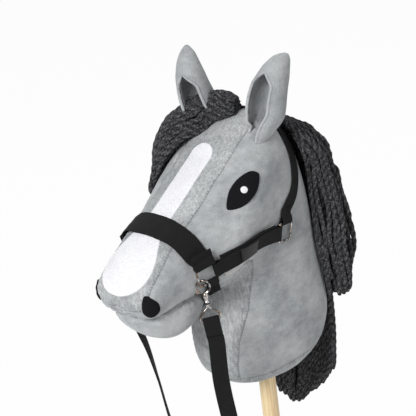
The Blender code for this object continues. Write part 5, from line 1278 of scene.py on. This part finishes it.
# The swivel's loop: its wire, half its inside width, the shoulders' height over the bar, its apex and
# how much of each corner is rounded
LOOP_WIRE, LOOP_INSIDE, LOOP_SHOULDER, LOOP_APEX, LOOP_CORNER = 0.0013, 0.0109, 0.0058, 0.0014, 0.0026


def loop_line():
    """The swivel's loop: an apex, two shoulders and a straight bar, its corners rounded."""
    half, bar, shoulder = LOOP_INSIDE + LOOP_WIRE, -LOOP_HEIGHT, -LOOP_HEIGHT + LOOP_SHOULDER
    corners = np.array([(0.0, LOOP_APEX), (half, shoulder), (half, bar), (-half, bar), (-half, shoulder)])
    points = []
    for k, here in enumerate(corners):
        before, after = corners[k - 1] - here, corners[(k + 1) % 5] - here
        first = here + before / np.linalg.norm(before) * LOOP_CORNER
        last = here + after / np.linalg.norm(after) * LOOP_CORNER
        for share in np.linspace(0, 1, 7):
            spot = (1 - share) ** 2 * first + 2 * share * (1 - share) * here + share**2 * last
            points.append((spot[0], 0, spot[1]))
    return points


# The claw's wire and the gate's, the radius of their bend, and the turns of the claw's foot and tip
# and of the gate's heel and tip
CLAW_WIRE, GATE_WIRE = 0.0014, 0.0011
CLAW = 0.0064 + CLAW_WIRE
CLAW_FOOT, CLAW_TIP, GATE_HEEL = math.radians(-90), math.radians(174), math.radians(240)
GATE_TIP = CLAW_TIP + 0.0015 / CLAW
# Turned parts as height and radius: the hook's shank, the gate's knob and the swivel's barrel
SHANK = (
    (-0.0066, 0.0016), (-0.0076, 0.0027), (-0.0090, 0.0035), (-0.0110, 0.0034), (-0.0135, 0.0029),
    (-0.0160, 0.0025), (-0.0176, 0.0024), (-0.0182, 0.0029), (-0.0192, 0.0030), (-0.0200, 0.0027),
    (-0.0208, 0.0016),
)
KNOB = (
    (0.0, 0.0009), (0.0030, 0.0008), (0.0040, 0.0010), (0.0045, 0.0015), (0.0052, 0.00175),
    (0.0060, 0.0016), (0.0065, 0.0009),
)
BARREL = (
    (0.0, 0.0022), (-0.0003, 0.0030), (-0.0010, 0.0033), (-0.0020, 0.0029), (-0.0028, 0.0029),
    (-0.0038, 0.0033), (-0.0045, 0.0028), (-0.0049, 0.0015),
)


def make_ring(name, inside, place):
    square = rounded_square(inside, RING_CORNER, WIRE)
    return wire_skin(name, square, WIRE, place, bright_steel, "head", True)


def make_hook(word, place):
    """The claw, thicker at its foot and thin at its tip, and the shank below it."""
    thick = np.full(44, CLAW_WIRE)
    thick[:8] = np.linspace(0.0022, CLAW_WIRE, 8)
    thick[-3:] = (0.00135, 0.0012, 0.0007)
    claw = wire_skin("claw", arc(CLAW, CLAW_FOOT, CLAW_TIP, 44), thick, place, bright_steel, "head")
    shank = turned("shank", SHANK, place, bright_steel, "head")
    return joined(f"{word}_bright_hook", [claw, shank], "head")


def make_gate(word, place):
    """The sprung wire that shuts the claw, with the knob that a thumb pulls."""
    body = f"{word}_gate_body"
    slim = np.full(16, GATE_WIRE)
    slim[[0, -1]] = 0.0007
    bolt = wire_skin("bolt", arc(CLAW, GATE_TIP, GATE_HEEL, 16), slim, place, bright_steel, body)
    turn = GATE_TIP + (GATE_HEEL - GATE_TIP) * 0.55
    spoke = Vector((math.cos(turn), 0, math.sin(turn)))
    knob = turned("knob", KNOB, place @ frame_of(spoke * CLAW, (0, 1, 0), spoke), bright_steel, body)
    return joined(f"{word}_bright_gate", [bolt, knob], body)


def make_swivel(word, place):
    body = f"{word}_swivel_body"
    barrel = turned("barrel", BARREL, place, bright_steel, body)
    under = place @ Matrix.Translation((0, 0, -SWIVEL_LENGTH))
    loop = wire_skin("loop", loop_line(), LOOP_WIRE, under, bright_steel, body, True)
    return joined(f"{word}_bright_swivel", [barrel, loop], body)


for side, word in ((-1, "left"), (1, "right")):
    for piece, node in (
        (make_ring(f"{word}_bright_lower_ring", LOWER_INSIDE, lower_place[side]), "lower_ring"),
        (make_ring(f"{word}_bright_upper_ring", UPPER_INSIDE, upper_place[side]), "upper_ring"),
        (make_hook(word, hook_place[side]), "hook"),
        (make_gate(word, hook_place[side]), "gate"),
        (make_swivel(word, swivel_place[side]), "swivel"),
    ):
        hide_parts(f"{word}_{node}")
print("hardware made")

# %% [markdown]
# ## The rein's ends
# The web goes round the loop's bar and is stitched back on itself, so each end is one length of
# webbing that comes up behind, turns over the bar and goes down in front.

# %% Rein ends
for side, word in ((-1, "left"), (1, "right")):
    place = bar_place[side]
    radius, apart = LOOP_WIRE + 0.0003 + REIN_THICKNESS / 2, REIN_THICKNESS / 2 + 0.0001
    line = [(0, apart, -0.020 + 0.002 * k) for k in range(8)]
    line += [(0, radius * math.sin(t), radius * math.cos(t)) for t in np.linspace(2.0, -2.0, 17)]
    line += [(0, -apart, -0.006 - 0.002 * k) for k in range(8)]
    spots = [tuple(place @ Vector(p)) for p in line]
    aside = place.to_3x3() @ Vector((1, 0, 0))
    way = np.gradient(np.array(spots), axis=0)
    way /= np.linalg.norm(way, axis=1)[:, None]
    across = np.tile(np.array(aside), (len(spots), 1))
    fold = web_along(
        f"{word}_rein_fold", spots, across, np.cross(across, way), REIN_WIDTH, REIN_THICKNESS,
        strap_webbing, f"{word}_swivel_body",
    )
    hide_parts(f"{word}_rein_end")

# %% [markdown]
# ## The yarn
# Mane and forelock are thick two-ply yarn, about seven millimetres across and up to 0.3 m long,
# sewn to the crest and cut off straight. One strand is a tube whose section has two lobes that
# turn as it goes, which is what a twisted yarn is. Strands are laid out between the inner and
# outer surface of each fall, so the bundle fills the room that its solid holds.

# %% One strand of yarn
# The twist of the yarn in radians to a metre, its plies, and how far they stand out
PLY_TURN = 2 * math.pi / 0.0220
PLIES, PLY_LOBE = 2, 0.11


def strand_rings(path, radius, phase, step, sides):
    """Rings of points along a strand, and how far out on its ply each point is."""
    spots, reach = even_path(path, step)
    ahead = np.gradient(spots, axis=0)
    ahead /= np.linalg.norm(ahead, axis=1)[:, None]
    # Any way will do that the strand doesn't run along
    side = np.cross(ahead, (0.31, 0.11, 0.94) if abs(ahead[0, 2]) < 0.8 else (0.97, 0.2, 0.1))
    side = np.cumsum(side, axis=0) * 0.02 + side
    side -= ahead * (side * ahead).sum(axis=1)[:, None]
    side /= np.linalg.norm(side, axis=1)[:, None]
    other = np.cross(ahead, side)
    turns = np.linspace(0, 2 * math.pi, sides, endpoint=False)
    lobe = np.cos(PLIES * (turns[None, :] - phase - reach[:, None] * PLY_TURN))
    thick = radius * (1 + PLY_LOBE * lobe)
    end = np.minimum(reach, reach[-1] - reach)
    thick *= (0.72 + 0.28 * ease(end / 0.004))[:, None]
    out = side[:, None] * np.cos(turns)[:, None] + other[:, None] * np.sin(turns)[:, None]
    return spots[:, None] + out * thick[..., None], 0.5 + 0.5 * lobe


def yarn_bundle(name, strands, look, step=0.0020, sides=9):
    """Many strands as one object. Each strand is (path, radius, phase)."""
    points, faces, ply = [], [], []
    for path, radius, phase in strands:
        rings, lobes = strand_rings(path, radius, phase, step, sides)
        start = sum(len(p) for p in points)
        count = len(rings)
        points += [rings.reshape(-1, 3), rings[:1].mean(axis=1), rings[-1:].mean(axis=1)]
        # The middles of a strand's ends count as deep in a groove, so they get the grooves' painted shade
        ply += [lobes.ravel(), [0.2, 0.2]]
        faces += ring_faces(count, sides, start)
        low, high, last = start + count * sides, start + count * sides + 1, start + (count - 1) * sides
        for j in range(sides):
            k = (j + 1) % sides
            faces.append((start + k, start + j, low))
            faces.append((last + j, last + k, high))
    piece = shape(name, np.concatenate(points), faces, look)
    put_values(piece, "ply", np.concatenate(ply))
    face_out(piece)
    print(name, len(strands), "strands,", 2 * len(faces), "triangles")
    return piece


# %% [markdown]
# The two falls of the mane are described round the stick's axis: at each height a near and a far
# edge in degrees from straight behind, and how far the yarn reaches. The lower fall hangs free past
# the neck's base, and the upper one lies over it.

# %% Falls of the mane
# Each row: height over the neck's base, near and far edge in degrees, and how far the yarn reaches,
# from the stick's axis in the upper fall and from the plush in the lower one
UPPER_FALL = (
    (0.340, -36, 36, 0.0640), (0.333, -42, 42, 0.0750), (0.322, -46, 50, 0.0915), (0.308, -48, 56, 0.1070),
    (0.290, -48, 62, 0.1215), (0.270, -42, 66, 0.1320), (0.235, -40, 70, 0.1430), (0.200, -43, 72, 0.1485),
    (0.170, -45, 72, 0.1520), (0.140, -44, 72, 0.1525), (0.118, -41, 72, 0.1495), (0.100, -39, 71, 0.1450),
    (0.080, -38, 70, 0.1380), (0.052, -34, 64, 0.1260),
)
LOWER_FALL = (
    (0.110, -12, 46, 0.0042), (0.098, -16, 46, 0.0080), (0.080, -18, 46, 0.0140), (0.052, -18, 46, 0.0160),
    (0.010, -18, 45, 0.0180), (-0.030, -16, 44, 0.0190), (-0.070, -8, 42, 0.0190), (-0.095, 4, 38, 0.0170),
    (-0.108, 10, 34, 0.0120),
)


def read_rows(table, height):
    table = np.array(sorted(table))
    return [np.interp(height, table[:, 0], table[:, k]) for k in range(1, table.shape[1])]


def back_reach(over, turn):
    """How far the plush reaches from the stick's axis at a height and a turn."""
    out = Vector((math.cos(turn), math.sin(turn), 0))
    place = head_tree.ray_cast(Vector((0, 0, NECK_BASE + over)) + out * 0.3, -out)[0]
    return 0.0 if place is None else Vector((place.x, place.y, 0)).dot(out)


def lower_inside(over, turn):
    if over > 0.070:
        return back_reach(over, turn) + 0.0025
    return back_reach(0.070, turn) + 0.0025 - 0.010 * float(ease((0.070 - over) / 0.20))


def upper_inside(over, turn):
    plain = back_reach(over, turn) + 0.0032 + 0.0060 * float(ease((over - 0.23) / 0.06))
    if over > 0.122:
        return plain
    near, far, size = read_rows(LOWER_FALL, over)
    degrees = math.degrees(turn)
    inside = float(ease((degrees - near + 14) / 14)) * float(ease((far + 14 - degrees) / 14))
    return max(plain, plain + (lower_inside(over, turn) - plain + size + 0.0043) * inside)


# Rows and columns of the table that a fall's room is kept in
FALL_ROWS, FALL_COLUMNS = 60, 33


class Fall:
    """The room of one fall, kept as a table over height and share of its width."""

    def __init__(self, rows, inside, outside):
        self.heights = np.linspace(rows[0][0], rows[-1][0], FALL_ROWS)
        self.shares = np.linspace(0, 1, FALL_COLUMNS)
        self.turn, self.low, self.high = np.zeros((3, FALL_ROWS, FALL_COLUMNS))
        for i, over in enumerate(self.heights):
            near, far, size = read_rows(rows, over)
            for j, share in enumerate(self.shares):
                turn = math.radians(near + (far - near) * share)
                edge = math.sin(math.pi * (0.06 + 0.88 * share)) ** 0.5
                low = inside(over, turn)
                self.turn[i, j], self.low[i, j] = turn, low
                self.high[i, j] = max(outside(low, size, edge), low + 0.004)

    def spot(self, over, share, depth, radius):
        """A point at a height, a share of the width, and a depth from 0 inside to 1 outside."""
        down = (self.heights[0] - over) / (self.heights[0] - self.heights[-1])
        row = np.clip(down * (FALL_ROWS - 1), 0, FALL_ROWS - 1.001)
        column = np.clip(share * (FALL_COLUMNS - 1), 0, FALL_COLUMNS - 1.001)
        a, b = int(row), int(column)
        u, v = row - a, column - b
        corners = ((0, 0, (1 - u) * (1 - v)), (1, 0, u * (1 - v)), (0, 1, (1 - u) * v), (1, 1, u * v))
        turn, low, high = (
            sum(table[a + i, b + j] * weight for i, j, weight in corners)
            for table in (self.turn, self.low, self.high)
        )
        room = max(0.0, high - low - 2 * radius)
        far = low + radius + room * depth
        return (far * math.cos(turn), far * math.sin(turn), NECK_BASE + over)


def upper_outside(low, size, edge):
    return low + (size - low) * (0.25 + 0.75 * edge)


def lower_outside(low, size, edge):
    return low + size * (0.35 + 0.65 * edge)


upper_room = Fall(UPPER_FALL, upper_inside, upper_outside)
lower_room = Fall(LOWER_FALL, lower_inside, lower_outside)
chance = np.random.default_rng(11)
# The yarn's radius
YARN = 0.0033
# The yarn falls in this many locks side by side, with dark gaps between them
LOCKS = 15


def fall_strand(room, share, depth, top, bottom, radius):
    """One strand down a fall: it starts at the cloth, comes out to its depth and waves a little."""
    phase, swing = chance.uniform(0, 6.28, 3), chance.uniform(0.002, 0.007)
    drift = chance.normal(0, 0.012)
    lock_turn = 2 * math.pi * LOCKS * share
    count = max(6, int((top - bottom) / 0.014))
    path = []
    for over in np.linspace(top, bottom, count):
        down = top - over
        loose = float(ease(down / 0.10))
        out = depth * float(ease(down / 0.045 + 0.15)) + 0.05 * math.sin(down * 60 + phase[1])
        out -= 0.16 * loose * (0.5 - 0.5 * math.cos(lock_turn))
        aside = share + drift * loose + swing * math.sin(down * 85 + phase[0])
        aside += loose * (0.010 * math.sin(lock_turn) + 0.006 * math.sin(down * 33 + LOCKS * share))
        flare = 0.07 * depth * float(ease(1 - (over - bottom) / 0.028))
        aside, out = float(np.clip(aside, 0, 1)), float(np.clip(out, 0, 1)) + flare
        path.append(room.spot(over, aside, out, radius))
    return path, radius, phase[2]


# Each layer's depth in its fall and its number of strands, from the outside in
UPPER_LAYERS = ((1.0, 36), (0.80, 34), (0.58, 28), (0.34, 26), (0.12, 24))
LOWER_LAYERS = ((1.0, 18), (0.5, 18), (0.0, 20))
# Strands start in three rows down the crest and end near the fall's foot. Towards the near edge they
# end higher, and some of the outermost are short.
near_part, far_part, inner_part = [], [], []
for layer, (depth, count) in enumerate(UPPER_LAYERS):
    for k in range(count):
        share = (k + 0.5 + chance.uniform(-0.18, 0.18)) / count
        top = 0.339 - (0.0, 0.055, 0.028)[k % 3] - chance.uniform(0, 0.006)
        if layer > 1:
            top -= 0.02
        bottom = 0.054 + abs(chance.normal(0, 0.012))
        if share < 0.30:
            bottom += 0.030 * (0.30 - share) / 0.30
        if layer == 0 and chance.random() < 0.42:
            bottom += chance.uniform(0.02, 0.12)
        lower_depth = depth - chance.uniform(0, 0.05)
        strand = fall_strand(upper_room, share, lower_depth, top, bottom, YARN * chance.uniform(0.92, 1.08))
        (inner_part if layer > 1 else near_part if share < 0.5 else far_part).append(strand)
near_mane = yarn_bundle("yarn_mane_near", near_part, charcoal_yarn)
far_mane = yarn_bundle("yarn_mane_far", far_part, charcoal_yarn)
inner_mane = yarn_bundle("yarn_mane_inside", inner_part, charcoal_yarn, 0.0042, 7)
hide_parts("upper_mane")
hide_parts("upper_mane")
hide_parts("upper_mane", "mane_tape")

lower_part = []
for depth, count in LOWER_LAYERS:
    for k in range(count):
        share = (k + 0.5 + chance.uniform(-0.15, 0.15)) / count
        bottom = -0.106 + 0.055 * (2 * abs(share - 0.55)) ** 2.2 + abs(chance.normal(0, 0.004))
        top = 0.108 - chance.uniform(0, 0.01)
        thick = YARN * chance.uniform(0.92, 1.06)
        lower_part.append(fall_strand(lower_room, share, depth, top, bottom, thick))
lower_yarn = yarn_bundle("yarn_mane_lower", lower_part, charcoal_yarn)
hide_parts("lower_mane")

# %% [markdown]
# ## The forelock
# A second bundle comes from the poll, between the ears, and falls over the forehead to the right
# cheek. Its strands run side by side along one middle line, spread as wide and as high as the
# bundle is there.

# %% Forelock
# Places along the bundle's middle line, with its width and height there
FORELOCK = (
    ((-0.0010, -0.0060, 0.9390), 0.024, 0.016), ((-0.0060, 0.0070, 0.9380), 0.038, 0.027),
    ((-0.0120, 0.0240, 0.9350), 0.046, 0.029), ((-0.0225, 0.0400, 0.9270), 0.052, 0.030),
    ((-0.0391, 0.0550, 0.9180), 0.054, 0.032), ((-0.0510, 0.0680, 0.9060), 0.046, 0.029),
    ((-0.0630, 0.0780, 0.8900), 0.032, 0.022), ((-0.0710, 0.0820, 0.8710), 0.016, 0.012),
    ((-0.0780, 0.0810, 0.8470), 0.011, 0.009), ((-0.0800, 0.0800, 0.8390), 0.009, 0.007),
)
# How much further the near side spreads over the forehead at each of those places
LOCK_SPREAD = (0, 0.001, 0.003, 0.005, 0.008, 0.012, 0.014, 0.012, 0.008, 0.006)
laid = [skin_near(spot) for spot, _, _ in FORELOCK]
middle_line = np.array([tuple(place) for place, _ in laid])
out_line = np.array([tuple(normal) for _, normal in laid])
way_line = np.gradient(middle_line, axis=0)
way_line /= np.linalg.norm(way_line, axis=1)[:, None]
side_line = np.cross(out_line, way_line)
side_line /= np.linalg.norm(side_line, axis=1)[:, None]
# Each layer's level, from the bundle's top to the plush, and its number of strands
LOCK_LAYERS = ((1.0, 10), (0.66, 10), (0.33, 9), (0.0, 9))
lock = []
for level, count in LOCK_LAYERS:
    for k in range(count):
        across = -0.95 + 1.9 * (k + 0.5 + chance.uniform(-0.15, 0.15)) / count
        phase = chance.uniform(0, 6.28, 3)
        path = []
        for n, (_, width, height) in enumerate(FORELOCK):
            reach = width / 2 - YARN + LOCK_SPREAD[n] * max(0.0, across)
            aside = across * reach + 0.0014 * math.sin(n * 1.3 + phase[0])
            crown = math.sqrt(max(0.0, 1 - across**2))
            up = 0.0024 + YARN * 0.4 + level * max(0.0, height - YARN) * crown
            up += 0.0008 * math.sin(n * 1.7 + phase[1])
            path.append(tuple(middle_line[n] + side_line[n] * aside + out_line[n] * up))
        near_side = min(1.0, max(0.0, (across + 0.2) / 1.2))
        stop = len(path) - 1 - 1.9 * near_side - chance.uniform(0, 0.6)
        path = smooth_through(path, np.linspace(0, stop, 14))
        lock.append((path, YARN * chance.uniform(0.92, 1.05), phase[2]))
forelock = yarn_bundle("yarn_forelock", lock, charcoal_yarn)
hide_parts("forelock")

# %% [markdown]
# ## Floor and light
# The toy stands on a plain pale floor in a pale studio. To the camera, and in reflections, the floor
# is white and the room behind it a very light grey. For light the floor is a plain pale surface and
# the room is dim, so nothing on the toy is lit by the white itself. One large soft lamp stands high
# in front at the camera's left, a weak one fills from its right and a third lights the mane from
# behind.

# %% Floor, world and lamps
bpy.ops.object.select_all(action="DESELECT")
bpy.ops.mesh.primitive_plane_add(size=24)
floor = bpy.context.active_object
floor.name = "pale_floor"
ground = Finish("pale floor", (0.86, 0.86, 0.86), 0.9)
seen = ground.add("ShaderNodeLightPath")
white = ground.add("ShaderNodeEmission")
share = ground.math("MAXIMUM", seen.outputs["Is Camera Ray"], seen.outputs["Is Glossy Ray"])
share = ground.math("MAXIMUM", share, seen.outputs["Is Transmission Ray"])
share = ground.math("MULTIPLY", share, 0.96)
blend = ground.add("ShaderNodeMixShader")
ground.wire(share, blend.inputs[0])
ground.wire(ground.shader.outputs[0], blend.inputs[1])
ground.wire(white.outputs[0], blend.inputs[2])
ground.wire(blend.outputs[0], ground.tree.nodes["Material Output"].inputs["Surface"])
floor.data.materials.append(ground.material)

world = bpy.data.worlds.new("studio")
bpy.context.scene.world = world
world.use_nodes = True
tree = world.node_tree
background = tree.nodes["Background"]
background.inputs["Color"].default_value = (1, 1, 1, 1)
background.inputs["Strength"].default_value = 0.36
bright = tree.nodes.new("ShaderNodeBackground")
seen = tree.nodes.new("ShaderNodeLightPath")
mix = tree.nodes.new("ShaderNodeMixShader")
shown = seen.outputs["Is Camera Ray"]
for ray in ("Is Glossy Ray", "Is Transmission Ray"):
    either = tree.nodes.new("ShaderNodeMath")
    either.operation = "MAXIMUM"
    tree.links.new(shown, either.inputs[0])
    tree.links.new(seen.outputs[ray], either.inputs[1])
    shown = either.outputs[0]
tree.links.new(shown, mix.inputs[0])
tree.links.new(background.outputs[0], mix.inputs[1])
tree.links.new(bright.outputs[0], mix.inputs[2])
tree.links.new(mix.outputs[0], tree.nodes["World Output"].inputs["Surface"])


def lamp(name, spot, aim, size, power):
    bpy.ops.object.select_all(action="DESELECT")
    bpy.ops.object.light_add(type="AREA", location=spot)
    light = bpy.context.active_object
    light.name = name
    light.data.size = size
    light.data.energy = power
    light.rotation_euler = (Vector(aim) - Vector(spot)).to_track_quat("-Z", "Y").to_euler()
    return light


lamp("key_lamp", (-2.8, -0.9, 2.7), aim=(-0.03, 0, 0.75), size=1.1, power=102)
lamp("fill_lamp", (0.4, -3.0, 1.4), aim=(0, 0, 0.7), size=2.0, power=11)
lamp("back_lamp", (1.6, 1.8, 2.4), aim=(0, 0, 0.8), size=1.4, power=20)
bpy.context.scene.view_settings.view_transform = "Standard"
